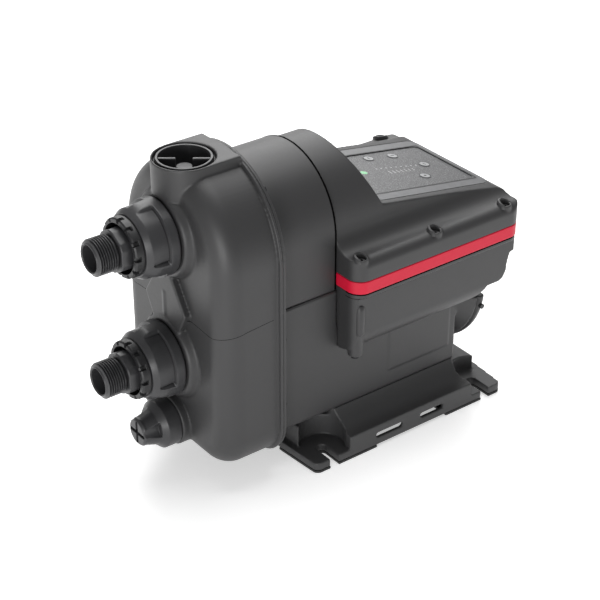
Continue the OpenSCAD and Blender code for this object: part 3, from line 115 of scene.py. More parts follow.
class Bench:
    """Lays out the nodes of one tree."""

    tree: Tree

    def feed(self, end: Socket, source: object) -> None:
        """Feeds a socket from another one, or gives it a value.

        Args:
            end: The socket.
            source: The other socket or the value.
        """
        if isinstance(source, Socket):
            self.tree.links.new(source, end)
        else:
            end.default_value = source

    def set(self, node: Node, **sources: object) -> None:
        """Feeds a node's inputs, whose names have _ for a space."""
        for key, source in sources.items():
            self.feed(node.inputs[key.replace("_", " ")], source)

    def node(self, kind: str, **sources: object) -> Node:
        """Adds a node.

        Args:
            kind: The node's type.
            **sources: What feeds its inputs, whose names have _ for a space.

        Returns:
            The new node.
        """
        made = self.tree.nodes.new(kind)
        self.set(made, **sources)
        return made


@dataclass
class GroupMaker(Bench):
    """Builds one shader group with named inputs and outputs."""

    name: str
    takes: dict[str, Feed]
    gives: dict[str, Feed]
    tree: Tree = field(init=False)
    entry: Node = field(init=False)
    leave: Node = field(init=False)

    def __post_init__(self) -> None:
        """Makes the group with its sockets."""
        self.tree = bpy.data.node_groups.new(self.name, "ShaderNodeTree")
        self.entry = self.tree.nodes.new("NodeGroupInput")
        self.leave = self.tree.nodes.new("NodeGroupOutput")
        for way, sockets in (("INPUT", self.takes), ("OUTPUT", self.gives)):
            for name, kind in sockets.items():
                self.tree.interface.new_socket(name=name, in_out=way, socket_type=kind.value)

    def given(self, name: str) -> Socket:
        """The socket that brings one of the group's inputs."""
        return self.entry.outputs[name]

    def give(self, name: str, source: Socket) -> None:
        """Feeds one of the group's outputs."""
        self.feed(self.leave.inputs[name], source)

    def math(self, operation: str, first: object, second: object) -> Socket:
        """Adds a math node.

        Args:
            operation: The name of the operation.
            first: A socket or a number.
            second: A socket or a number.

        Returns:
            The result.
        """
        made = self.node("ShaderNodeMath")
        made.operation = operation
        self.feed(made.inputs[0], first)
        self.feed(made.inputs[1], second)
        return made.outputs[0]

    def place(self) -> Socket:
        """The point on the surface, in the object's own metres."""
        return self.node("ShaderNodeTexCoord").outputs["Object"]

    def noise(self, point: Socket, scale: object, detail: float, rough: float) -> Socket:
        """Noise at a point, with its cycles per metre, octaves and share of each finer octave."""
        made = self.node("ShaderNodeTexNoise", Vector=point, Scale=scale, Detail=detail, Roughness=rough)
        return made.outputs["Fac"]

    def span(self, value: Socket, low: float, high: float) -> Socket:
        """Maps a value so that it runs from 0 at low to 1 at high."""
        return self.node("ShaderNodeMapRange", From_Min=low, From_Max=high, Value=value).outputs[0]

    def blend(self, factor: Socket, first: object, second: object) -> Socket:
        """Mixes two colours.

        Args:
            factor: Share of the second.
            first: A colour or a socket.
            second: A colour or a socket.

        Returns:
            The mixed colour.
        """
        made = self.node("ShaderNodeMix")
        made.data_type = "RGBA"
        # Among its sockets for every type, inputs 6 and 7 and output 2 are the ones for colours.
        for index, source in ((0, factor), (6, first), (7, second)):
            self.feed(made.inputs[index], source)
        return made.outputs[2]


def grain_group() -> Tree:
    """Spark-eroded grain of moulded plastic: a height from a fine and a coarser noise."""
    made = GroupMaker(
        "moulded_grain", {"Scale": Feed.VALUE, "Coarse share": Feed.VALUE}, {"Height": Feed.VALUE}
    )
    scale = made.given("Scale")
    fine = made.noise(made.place(), scale, detail=3.0, rough=0.6)
    coarse = made.noise(made.place(), made.math("MULTIPLY", scale, 0.22), detail=2.0, rough=0.5)
    weighted = made.math("MULTIPLY", coarse, made.given("Coarse share"))
    made.give("Height", made.math("ADD", fine, weighted))
    return made.tree


def tone_group() -> Tree:
    """Slow drift of a moulding's tone, and the fine change of roughness that goes with it."""
    made = GroupMaker(
        "tone_drift",
        {
            "Colour": Feed.COLOUR,
            "Drift colour": Feed.COLOUR,
            "Amount": Feed.VALUE,
            "Roughness": Feed.VALUE,
        },
        {"Colour": Feed.COLOUR, "Roughness": Feed.VALUE},
    )
    drift = made.noise(made.place(), 22.0, detail=4.0, rough=0.55)
    share = made.math("MULTIPLY", drift, made.given("Amount"))
    made.give("Colour", made.blend(share, made.given("Colour"), made.given("Drift colour")))
    fine = made.noise(made.place(), 310.0, detail=2.0, rough=0.5)
    change = made.math("MULTIPLY", made.math("SUBTRACT", fine, 0.5), 0.09)
    made.give("Roughness", made.math("ADD", made.given("Roughness"), change))
    return made.tree


def wear_and_shade_group() -> Tree:
    """Slight rubbing on proud edges and painted shade in sunk corners, from the surface's own curvature.
    """
    made = GroupMaker(
        "edge_wear",
        {"Colour": Feed.COLOUR, "Rubbed colour": Feed.COLOUR, "Amount": Feed.VALUE},
        {"Colour": Feed.COLOUR, "Shade": Feed.VALUE},
    )
    # Sunk corners are painted dark towards this colour as shade, and their Shade output takes their
    # reflection away.
    shade_colour = (0.004, 0.004, 0.004, 1.0)
    curvature = made.node("ShaderNodeNewGeometry").outputs["Pointiness"]
    shade = made.math("MULTIPLY", made.span(curvature, low=0.492, high=0.43), 0.8)
    made.give("Shade", shade)
    proud = made.span(curvature, low=0.515, high=0.6)
    broken = made.span(made.noise(made.place(), 140.0, detail=4.0, rough=0.6), low=0.35, high=0.75)
    mask = made.math("MULTIPLY", made.math("MULTIPLY", proud, broken), made.given("Amount"))
    rubbed = made.blend(mask, made.given("Colour"), made.given("Rubbed colour"))
    made.give("Colour", made.blend(shade, rubbed, shade_colour))
    return made.tree


def speckle_group() -> Tree:
    """Fine light flecks in a dark printed film."""
    made = GroupMaker(
        "film_speckle",
        {"Colour": Feed.COLOUR, "Fleck colour": Feed.COLOUR, "Scale": Feed.VALUE},
        {"Colour": Feed.COLOUR},
    )
    flecks = made.noise(made.place(), made.given("Scale"), detail=1.0, rough=0.5)
    mask = made.span(flecks, low=0.52, high=0.66)
    made.give("Colour", made.blend(mask, made.given("Colour"), made.given("Fleck colour")))
    return made.tree


def turned_group() -> Tree:
    """Tool marks of turned or drawn metal, in rings about the shaft's direction."""
    made = GroupMaker(
        "tool_marks",
        {"Colour": Feed.COLOUR, "Dark colour": Feed.COLOUR, "Roughness": Feed.VALUE},
        {"Colour": Feed.COLOUR, "Roughness": Feed.VALUE, "Height": Feed.VALUE},
    )
    ring_cycles = (3000.0, 60.0, 60.0)
    drawn_out = made.node("ShaderNodeMapping", Vector=made.place(), Scale=ring_cycles).outputs[0]
    lines = made.noise(drawn_out, 1.0, detail=3.0, rough=0.5)
    made.give("Height", lines)
    made.give("Colour", made.blend(lines, made.given("Dark colour"), made.given("Colour")))
    change = made.math("MULTIPLY", made.math("SUBTRACT", lines, 0.5), 0.25)
    made.give("Roughness", made.math("ADD", made.given("Roughness"), change))
    return made.tree


# Finishes

WHITE = (1.0, 1.0, 1.0)


def rgba(colour: Colour) -> tuple[float, float, float, float]:
    """Adds a full alpha to a colour."""
    return (*colour, 1.0)


@dataclass(frozen=True)
class Groups:
    """The shader groups that the finishes share."""

    grain: Tree
    tone: Tree
    # Rubbing on proud edges, and painted shade in sunk corners.
    wear: Tree
    speckle: Tree
    marks: Tree

    @classmethod
    def build(cls) -> "Groups":
        """Builds every group once."""
        return cls(grain_group(), tone_group(), wear_and_shade_group(), speckle_group(), turned_group())


class Sheet(Bench):
    """A new material whose nodes are laid out from a Principled shader."""

    def __init__(self, name: str) -> None:
        """Makes the material.

        Args:
            name: The finish's name.
        """
        self.material = bpy.data.materials.new(name)
        self.material.use_nodes = True
        self.tree = self.material.node_tree
        self.shader = self.tree.nodes["Principled BSDF"]

    def group(self, tree: Tree, **sources: object) -> Node:
        """Places a shader group.

        Args:
            tree: The group.
            **sources: What feeds its inputs, whose names have _ for a space.

        Returns:
            The group's node.
        """
        made = self.node("ShaderNodeGroup")
        made.node_tree = tree
        self.set(made, **sources)
        return made

    def bump(self, height: Socket, strength: float, distance: float) -> None:
        """Feeds a height to the shader's normal.

        Args:
            height: The height's socket.
            strength: Share of the full effect.
            distance: Height in metres of a full step.
        """
        made = self.node("ShaderNodeBump", Height=height, Strength=strength, Distance=distance)
        self.set(self.shader, Normal=made.outputs["Normal"])


@dataclass(frozen=True)
class MouldedPlastic:
    """Grained moulded plastic."""

    name: str
    colour: Colour
    drift: Colour
    rubbed: Colour
    roughness: float = 0.46
    grain_scale: float = 2200.0
    grain_depth: float = 0.04 * MM
    grain_strength: float = 0.35
    coarse_share: float = 0.35
    wear: float = 0.35
    drift_share: float = 0.5
    gloss: float = 0.5

    def make(self, groups: Groups) -> Material:
        """Builds the material.

        Args:
            groups: The shared shader groups.

        Returns:
            The material.
        """
        sheet = Sheet(self.name)
        tone = sheet.group(groups.tone, Colour=rgba(self.colour), Drift_colour=rgba(self.drift))
        sheet.set(tone, Amount=self.drift_share, Roughness=self.roughness)
        worn_and_shaded = sheet.group(groups.wear, Colour=tone.outputs["Colour"], Amount=self.wear)
        sheet.set(worn_and_shaded, Rubbed_colour=rgba(self.rubbed))
        sheet.set(sheet.shader, Base_Color=worn_and_shaded.outputs["Colour"], Roughness=tone.outputs["Roughness"])
        # The painted shade of sunk corners also takes away their reflection, as a metal of the shade's
        # colour would.
        sheet.set(sheet.shader, Metallic=worn_and_shaded.outputs["Shade"], Specular_IOR_Level=self.gloss)
        grain = sheet.group(groups.grain, Scale=self.grain_scale, Coarse_share=self.coarse_share)
        sheet.bump(grain.outputs["Height"], self.grain_strength, self.grain_depth)
        return sheet.material


@dataclass(frozen=True)
class SpeckledFilm:
    """Printed film with fine flecks."""

    name: str
    colour: Colour
    fleck: Colour
    scale: float
    roughness: float = 0.42
    drift_share: float = 0.08
    grain_scale: float = 2600.0
    grain_depth: float = 0.02 * MM
    grain_strength: float = 0.2
    coarse_share: float = 0.1

    def make(self, groups: Groups) -> Material:
        """Builds the material.

        Args:
            groups: The shared shader groups.

        Returns:
            The material.
        """
        sheet = Sheet(self.name)
        flecks = sheet.group(groups.speckle, Colour=rgba(self.colour), Scale=self.scale)
        sheet.set(flecks, Fleck_colour=rgba(self.fleck))
        tone = sheet.group(groups.tone, Colour=flecks.outputs["Colour"], Drift_colour=rgba(self.fleck))
        sheet.set(tone, Amount=self.drift_share, Roughness=self.roughness)
        sheet.set(sheet.shader, Base_Color=tone.outputs["Colour"], Roughness=tone.outputs["Roughness"])
        grain = sheet.group(groups.grain, Scale=self.grain_scale, Coarse_share=self.coarse_share)
        sheet.bump(grain.outputs["Height"], self.grain_strength, self.grain_depth)
        return sheet.material


@dataclass(frozen=True)
class TurnedMetal:
    """Turned, drawn or plated metal with fine tool marks."""

    name: str
    colour: Colour
    dark: Colour
    roughness: float
    depth: float = 0.01 * MM
    strength: float = 0.3

    def make(self, groups: Groups) -> Material:
        """Builds the material.

        Args:
            groups: The shared shader groups.

        Returns:
            The material.
        """
        sheet = Sheet(self.name)
        marks = sheet.group(groups.marks, Colour=rgba(self.colour), Dark_colour=rgba(self.dark))
        sheet.set(marks, Roughness=self.roughness)
        sheet.set(sheet.shader, Base_Color=marks.outputs["Colour"], Metallic=1.0)
        sheet.set(sheet.shader, Roughness=marks.outputs["Roughness"])
        sheet.bump(marks.outputs["Height"], self.strength, self.depth)
        return sheet.material


@dataclass(frozen=True)
class ClearLens:
    """Lit coloured lens of a status light."""

    name: str
    colour: Colour
    lit: Colour
    roughness: float = 0.2
    drift_share: float = 0.6
    glow: float = 0.2
    coat: float = 0.1

    def make(self, groups: Groups) -> Material:
        """Builds the material.

        Args:
            groups: The shared shader groups.

        Returns:
            The material.
        """
        sheet = Sheet(self.name)
        tone = sheet.group(groups.tone, Colour=rgba(self.colour), Drift_colour=rgba(self.lit))
        sheet.set(tone, Amount=self.drift_share, Roughness=self.roughness)
        sheet.set(sheet.shader, Base_Color=tone.outputs["Colour"], Roughness=tone.outputs["Roughness"])
        sheet.set(sheet.shader, Emission_Color=tone.outputs["Colour"], Emission_Strength=self.glow)
        sheet.set(sheet.shader, Coat_Weight=self.coat)
        return sheet.material


# Finishes that borrow a slot of the part, because they dress pieces that only the looks have, or give
# the same moulding a second tone set for how light falls on one piece.
BORROWED_SLOTS = {
    "charcoal_base": "charcoal_body",
    "joint_shade": "near_black",
    "print_and_shade_black": "near_black",
    "print_white": "key_grey",
}


class Finish(Enum):
    """The finishes of the pump: one for each slot of the part, and those that borrow a slot.

    A moulded plastic has its colour, the colour that it drifts to and the colour of a rubbed edge.
    """

    CHARCOAL_BODY = MouldedPlastic(
        "charcoal_body", (0.03, 0.03, 0.031), (0.038, 0.037, 0.038), (0.07, 0.07, 0.072)
    )
    # The body's charcoal again, with its tone set for how light falls on the base: painted light, not a
    # different plastic.
    CHARCOAL_BASE = MouldedPlastic(
        "charcoal_base", (0.034, 0.034, 0.035), (0.044, 0.044, 0.045), (0.09, 0.09, 0.092), roughness=0.5
    )
    CHARCOAL_FITTING = MouldedPlastic(
        "charcoal_fitting", (0.03, 0.03, 0.032), (0.04, 0.04, 0.042), (0.085, 0.085, 0.088),
        roughness=0.38, grain_scale=3000.0,
    )
    NEAR_BLACK = MouldedPlastic(
        "near_black", (0.01, 0.01, 0.011), (0.016, 0.016, 0.017), (0.04, 0.04, 0.042), roughness=0.45
    )
    JOINT_SHADE = MouldedPlastic(
        "joint_shade", (0.001, 0.001, 0.001), (0.002, 0.002, 0.002), (0.004, 0.004, 0.004),
        roughness=0.9, gloss=0.02,
    )
    RED_TRIM = MouldedPlastic(
        "red_trim", (0.6, 0.006, 0.034), (0.66, 0.01, 0.042), (0.76, 0.07, 0.11),
        roughness=0.45, gloss=0.3, grain_strength=0.12, wear=0.2,
    )
    SILVER_GREY = MouldedPlastic(
        "silver_grey", (0.108, 0.11, 0.114), (0.135, 0.137, 0.142), (0.3, 0.3, 0.31),
        roughness=0.4, grain_strength=0.15, wear=0.15,
    )
    KEY_GREY = MouldedPlastic(
        "key_grey", (0.3, 0.305, 0.31), (0.36, 0.36, 0.37), (0.5, 0.5, 0.51),
        roughness=0.38, grain_strength=0.12, wear=0.15,
    )
    KEYPAD_GREY = SpeckledFilm("keypad_grey", (0.06, 0.061, 0.063), (0.22, 0.22, 0.226), 1100.0)
    PRINT_WHITE = MouldedPlastic(
        "print_white", (0.42, 0.42, 0.42), (0.5, 0.5, 0.5), (0.6, 0.6, 0.6),
        roughness=0.5, grain_strength=0.1,
    )
    # Black print on the keys, also used as the painted shade of the gap round the keypad.
    PRINT_AND_SHADE_BLACK = MouldedPlastic(
        "print_and_shade_black", (0.012, 0.012, 0.013), (0.02, 0.02, 0.02), (0.05, 0.05, 0.05),
        roughness=0.5, grain_strength=0.1,
    )
    GREEN_LIGHT = ClearLens("green_light", (0.01, 0.26, 0.06), (0.065, 0.44, 0.14))
    SEAL_RUBBER = MouldedPlastic(
        "seal_rubber", (0.012, 0.012, 0.012), (0.02, 0.02, 0.02), (0.04, 0.04, 0.04), roughness=0.6
    )
    PAD_RUBBER = MouldedPlastic(
        "pad_rubber", (0.014, 0.014, 0.014), (0.022, 0.022, 0.022), (0.045, 0.045, 0.045), roughness=0.7
    )
    PALE_PLASTIC = MouldedPlastic(
        "pale_plastic", (0.62, 0.6, 0.52), (0.68, 0.66, 0.58), (0.75, 0.73, 0.66), roughness=0.35
    )
    SEAL_CARBON = MouldedPlastic(
        "seal_carbon", (0.03, 0.03, 0.033), (0.045, 0.045, 0.048), (0.08, 0.08, 0.08), roughness=0.3
    )
    SEAL_CERAMIC = MouldedPlastic(
        "seal_ceramic", (0.8, 0.79, 0.75), (0.84, 0.83, 0.8), (0.9, 0.9, 0.88), roughness=0.2
    )
    BOARD_GREEN = MouldedPlastic(
        "board_green", (0.02, 0.13, 0.055), (0.03, 0.17, 0.07), (0.1, 0.3, 0.15), roughness=0.3
    )
    BOARD_PART = MouldedPlastic(
        "board_part", (0.025, 0.025, 0.03), (0.04, 0.04, 0.045), (0.08, 0.08, 0.08), roughness=0.4
    )
    STAINLESS = TurnedMetal("stainless", (0.62, 0.62, 0.61), (0.45, 0.45, 0.45), 0.25)
    SCREW_STEEL = TurnedMetal("screw_steel", (0.05, 0.05, 0.052), (0.03, 0.03, 0.032), 0.55)
    SPRING_STEEL = TurnedMetal("spring_steel", (0.6, 0.6, 0.6), (0.4, 0.4, 0.4), 0.3)
    TANK_STEEL = TurnedMetal("tank_steel", (0.5, 0.5, 0.52), (0.36, 0.36, 0.38), 0.3)
    LAMINATIONS = TurnedMetal("laminations", (0.33, 0.33, 0.34), (0.16, 0.16, 0.17), 0.45, 0.06 * MM)
    COPPER = TurnedMetal("copper", (0.66, 0.28, 0.13), (0.4, 0.14, 0.06), 0.32, 0.08 * MM)

    @property
    def slot(self) -> str:
        """The material slot of the part that this finish fills."""
        return BORROWED_SLOTS.get(self.value.name, self.value.name)


class Paint:
    """Makes each finish's material once and puts it on pieces."""

    def __init__(self) -> None:
        """Builds the shader groups and every material."""
        groups = Groups.build()
        self.materials = {finish: finish.value.make(groups) for finish in Finish}

    def dress(self, piece: Piece, finish: Finish) -> None:
        """Puts a finish on a piece."""
        piece.data.materials.clear()
        piece.data.materials.append(self.materials[finish])


# Mesh tools


def new_piece(name: str, mesh: Mesh) -> Piece:
    """Puts a mesh in the scene.

    Args:
        name: The piece's name.
        mesh: Its mesh.

    Returns:
        The new object.
    """
    piece = bpy.data.objects.new(name, mesh)
    bpy.context.scene.collection.objects.link(piece)
    return piece


def smoothstep(low: float, high: float, value: float) -> float:
    """Rises softly from 0 at low to 1 at high."""
    share = min(1.0, max(0.0, (value - low) / (high - low)))
    return share * share * (3.0 - 2.0 * share)


def fall(low: float, high: float, value: float) -> float:
    """Falls softly from 1 at low to 0 at high."""
    return 1.0 - smoothstep(low, high, value)


def angle_from(angle: float, centres: Sequence[float]) -> float:
    """Distance of an angle in radians to the nearest of some angles in degrees, in radians."""
    return min(abs((angle - math.radians(at) + math.pi) % FULL_TURN - math.pi) for at in centres)


@dataclass(frozen=True)
class Softening:
    """How a part's solid is turned into a moulding with rounded edges and corners."""

    voxel: float
    passes: int
    keep: float

    def piece(self, node: str, name: str) -> Piece:
        """Makes a moulded copy of a node of the part, no larger than the node.

        Args:
            node: The node's name.
            name: The new piece's name.

        Returns:
            The moulded piece.
        """
        work = bmesh.new()
        work.from_mesh(frame["nodes"][node].data)
        bmesh.ops.remove_doubles(work, verts=work.verts, dist=0.002 * MM)
        mesh = bpy.data.meshes.new(name)
        work.to_mesh(mesh)
        work.free()
        piece = new_piece(name, mesh)
        remesh = piece.modifiers.new("remesh", "REMESH")
        remesh.mode = "VOXEL"
        remesh.voxel_size = self.voxel
        smooth = piece.modifiers.new("smooth", "SMOOTH")
        smooth.factor = 0.5
        smooth.iterations = self.passes
        thin = piece.modifiers.new("thin", "DECIMATE")
        thin.ratio = self.keep
        bpy.context.view_layer.update()
        graph = bpy.context.evaluated_depsgraph_get()
        piece.data = bpy.data.meshes.new_from_object(piece.evaluated_get(graph))
        piece.modifiers.clear()
        bpy.data.meshes.remove(mesh)
        low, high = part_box(node)
        for vertex in piece.data.vertices:
            for axis in range(3):
                vertex.co[axis] = min(max(vertex.co[axis], low[axis]), high[axis])
        piece.data.shade_smooth()
        return piece


def closed_mesh(
    name: str, rings: Sequence[Sequence[Vector]], hoop: bool, crease: float = 35.0, weld: float = 0.0
) -> Mesh:
    """Joins rings of points into a closed mesh.

    Args:
        name: The mesh's name.
        rings: Rings with the same number of points.
        hoop: Whether the last ring joins the first. Otherwise both ends are capped.
        crease: Angle in degrees from which an edge stays sharp.
        weld: Distance within which points become one.

    Returns:
        The closed mesh.
    """
    work = bmesh.new()
    rows = [[work.verts.new(point) for point in ring] for ring in rings]
    pairs = list(zip(rows, rows[1:]))
    if hoop:
        pairs.append((rows[-1], rows[0]))
    else:
        work.faces.new(rows[0][::-1])
        work.faces.new(rows[-1])
    for first, second in pairs:
        for step in range(len(first)):
            after = (step + 1) % len(first)
            work.faces.new((first[step], first[after], second[after], second[step]))
    if weld > 0.0:
        bmesh.ops.remove_doubles(work, verts=work.verts, dist=weld)
    bmesh.ops.recalc_face_normals(work, faces=work.faces)
    made = bpy.data.meshes.new(name)
    work.to_mesh(made)
    work.free()
    made.shade_smooth()
    made.set_sharp_from_angle(angle=math.radians(crease))
    return made


@dataclass(frozen=True)
class TurnedSkin:
    """A closed piece about an axis along X whose outside and bore are given by their radii."""

    stations: Sequence[float]
    outside: Reach
    bore: Callable[[float], float]
    height: float
    steps: int

    def mesh(self, name: str) -> Mesh:
        """Builds the skin.

        Args:
            name: The mesh's name.

        Returns:
            A closed mesh.
        """
        rings = [self.ring(x, self.outside) for x in self.stations]
        rings += [self.ring(x, lambda at, angle: self.bore(at)) for x in reversed(self.stations)]
        return closed_mesh(name, rings, True, crease=40.0, weld=0.0005 * MM)

    def ring(self, x: float, reach: Reach) -> list[Vector]:
        """The points of one ring.

        Args:
            x: Where the ring stands.
            reach: Its radius at a place and an angle.

        Returns:
            The points.
        """
        points = []
        for step in range(self.steps):
            angle = FULL_TURN * step / self.steps
            radius = reach(x, angle)
            points.append(Vector((x, radius * math.cos(angle), self.height + radius * math.sin(angle))))
        return points


def stations_between(low: float, high: float, step: float) -> list[float]:
    """Evenly spaced stations, both ends included, no further apart than a step."""
    count = max(1, math.ceil((high - low) / step))
    return [low + (high - low) * index / count for index in range(count + 1)]


def round_loop(centre: Spot, radius: float, steps: int = 40) -> Loop:
    """Points of a circle."""
    turns = [FULL_TURN * index / steps for index in range(steps)]
    return [(centre[0] + radius * math.cos(turn), centre[1] + radius * math.sin(turn)) for turn in turns]


def slab_loop(low: Spot, high: Spot, radius: float, steps: int = 6) -> Loop:
    """Points of a rectangle with rounded corners.

    Args:
        low: Its low corner.
        high: Its high corner.
        radius: Radius of its corners.
        steps: Steps in each corner's arc.

    Returns:
        The points.
    """
    left, right, foot, head = low[0] + radius, high[0] - radius, low[1] + radius, high[1] - radius
    made: Loop = []
    for corner, (x, y) in enumerate(((right, head), (left, head), (left, foot), (right, foot))):
        for index in range(steps + 1):
            turn = math.radians(90.0 * (corner + index / steps))
            made.append((x + radius * math.cos(turn), y + radius * math.sin(turn)))
    return made


def arc_from_front(arc: Spot, side: float) -> Spot:
    """Angles in degrees about an upright axis, from ones that start at the front."""
    return (180.0 - arc[0] * side, 180.0 - arc[1] * side)


@dataclass(frozen=True)
class PaintedShadeLine:
    """A fine dark strip of painted shade along a joint or crease in the skin of a moulding, found by
    shots at it.
    """

    shots: Shots
    width: float
    proud: float = 0.16 * MM
    depth: float = 0.5 * MM

    def mesh(self, name: str, skin: Mesh) -> Mesh:
        """Lays the line on a skin.

        Args:
            name: The mesh's name.
            skin: The mesh that the line lies in.

        Returns:
            The line's closed mesh.
        """
        work = bmesh.new()
        work.from_mesh(skin)
        tree = BVHTree.FromBMesh(work)
        work.free()
        struck = [tree.ray_cast(start, way) for start, way in self.shots]
        found = [(place, normal) for place, normal, _, _ in struck if place is not None]
        rings = []
        for index, (place, normal) in enumerate(found):
            before = found[max(0, index - 1)][0]
            after = found[min(len(found) - 1, index + 1)][0]
            side = (after - before).cross(normal).normalized() * self.width / 2.0
            corners = ((1.0, -self.depth), (1.0, self.proud), (-1.0, self.proud), (-1.0, -self.depth))
            rings.append([place + side * across + normal * height for across, height in corners])
        return closed_mesh(name, rings, False)


def shots_along(points: Sequence[Place], way: Place, gap: float) -> Shots:
    """Level shots from a path.

    Args:
        points: Corners of the path, in millimetres.
        way: Direction of every shot.
        gap: Distance between shots, in millimetres.

    Returns:
        Starts and directions.
    """
    made = []
    for start, end in zip(points, points[1:]):
        first, last = Vector(start), Vector(end)
        count = max(1, round((last - first).length / gap))
        for index in range(count):
            made.append((first.lerp(last, index / count) * MM, Vector(way)))
    made.append((Vector(points[-1]) * MM, Vector(way)))
    return made


def shots_side(ends: Sequence[Spot], side: float, gap: float) -> Shots:
    """Level shots at one side of the pump, along a path given by the X and Z of its ends."""
    return shots_along([(x, AWAY * side, z) for x, z in ends], (0.0, -side, 0.0), gap)


def shots_fan(ends: Sequence[Vector], axes: Sequence[Vector], angles: Spot, count: int = 24) -> Shots:
    """Shots at an axis from round it.

    Args:
        ends: Points of the axis for the first and the last shot, in millimetres.
        axes: Directions from the axis at 0 and at 90 degrees.
        angles: First and last angle in degrees.
        count: Number of shots.

    Returns:
        Starts and directions.
    """
    made = []
    for index in range(count):
        share = index / (count - 1)
        turn = math.radians(angles[0] + (angles[1] - angles[0]) * share)
        way = axes[0] * math.cos(turn) + axes[1] * math.sin(turn)
        made.append(((ends[0].lerp(ends[1], share) + way * AWAY) * MM, -way))
    return made


# Sub-assemblies


@dataclass
class SubAssembly:
    """A group of pieces that are made and dressed together."""

    paint: Paint
    made: list[Piece] = field(default_factory=list, init=False)

    def build(self) -> None:
        """Makes and dresses the group's pieces."""
        raise NotImplementedError

    def finished(self, piece: Piece, finish: Finish) -> Piece:
        """Dresses a new piece and notes it.

        Args:
            piece: The piece.
            finish: Its finish.

        Returns:
            The piece.
        """
        self.paint.dress(piece, finish)
        self.made.append(piece)
        return piece

    def stand_in(self, piece: Piece, node: str, finish: Finish) -> Piece:
        """Puts a new piece in the place of a node.

        Args:
            piece: The piece.
            node: The node's name.
            finish: The piece's finish.

        Returns:
            The piece, riding with the node's body.
        """
        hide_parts(node)
        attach(piece, frame["nodes"][node]["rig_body"])
        return self.finished(piece, finish)

    def soften(self, node: str, finish: Finish, how: Softening) -> Piece:
        """Puts a moulded copy in a node's place."""
        return self.stand_in(how.piece(node, node + "_moulding"), node, finish)

    def turn(self, node: str, finish: Finish, skin: TurnedSkin) -> Piece:
        """Puts a turned piece in a node's place."""
        name = node + "_turned"
        return self.stand_in(new_piece(name, skin.mesh(name)), node, finish)

    def carry(self, finish: Finish, *nodes: str) -> None:
        """Dresses nodes of the part that keep their own shape.

        Args:
            finish: Their finish.
            *nodes: Their names.
        """
        for node in nodes:
            piece = frame["nodes"][node]
            piece.data.shade_smooth()
            piece.data.set_sharp_from_angle(angle=math.radians(30.0))
            self.paint.dress(piece, finish)
            self.made.append(piece)

    def add(self, mesh: Mesh, finish: Finish, body: str = "pump") -> None:
        """Adds a small piece that the part leaves to its looks, under its mesh's name.

        Args:
            mesh: Its mesh.
            finish: Its finish.
            body: The body that it rides with.
        """
        piece = new_piece(mesh.name, mesh)
        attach(piece, body)
        self.finished(piece, finish)

    def line(self, name: str, skin: Piece, line: PaintedShadeLine) -> None:
        """Lays a strip of painted shade along a joint or crease in the skin of a piece of the pump's
        body.
        """
        self.add(line.mesh(name, skin.data), Finish.JOINT_SHADE)


@dataclass
class PumpCasing(SubAssembly):
    """Front casing with its cover, screws and seal, and painted shade along its creases. Places are in
    millimetres.
    """

    softening: Softening = Softening(1.1 * MM, 5, 0.3)
    cover_softening: Softening = Softening(0.9 * MM, 3, 0.35)
    front_y: Spot = (26.0, 60.0)
    front_heights: Spot = (162.0, 160.0)
    corner: Spot = (-101.0, 62.0)
    corner_heights: Spot = (160.0, 166.0)
    corner_arc: Spot = (2.0, 88.0)
    side_ends: tuple[Spot, Spot] = ((-100.0, 166.3), (-72.0, 168.5))
    shot_gap: float = 2.0
    crease_width: float = 0.4 * MM
    crease_proud: float = 0.05 * MM

    def build(self) -> None:
        """Makes the casing's pieces."""
        casing = self.soften("pump_housing", Finish.CHARCOAL_BODY, self.softening)
        for hand, side in HANDS:
            crease = PaintedShadeLine(self.crease(side), self.crease_width, self.crease_proud)
            self.line(f"casing_crease_shade_{hand}", casing, crease)
        self.soften("chamber_cover", Finish.CHARCOAL_BODY, self.cover_softening)
        self.carry(Finish.SEAL_RUBBER, "casing_seal")
        self.carry(Finish.SCREW_STEEL, "body_screws")

    def crease(self, side: float) -> Shots:
        """Shots along the crease, from the front round the corner to the flange.

        Args:
            side: Sign of the side's Y.

        Returns:
            Starts and directions.
        """
        front = [(-AWAY, y * side, z) for y, z in zip(self.front_y, self.front_heights)]
        corner = [Vector((self.corner[0], self.corner[1] * side, z)) for z in self.corner_heights]
        return (
            shots_along(front, (1.0, 0.0, 0.0), self.shot_gap)
            + shots_fan(corner, LEVEL, arc_from_front(self.corner_arc, side))
            + shots_side(self.side_ends, side, self.shot_gap)
        )


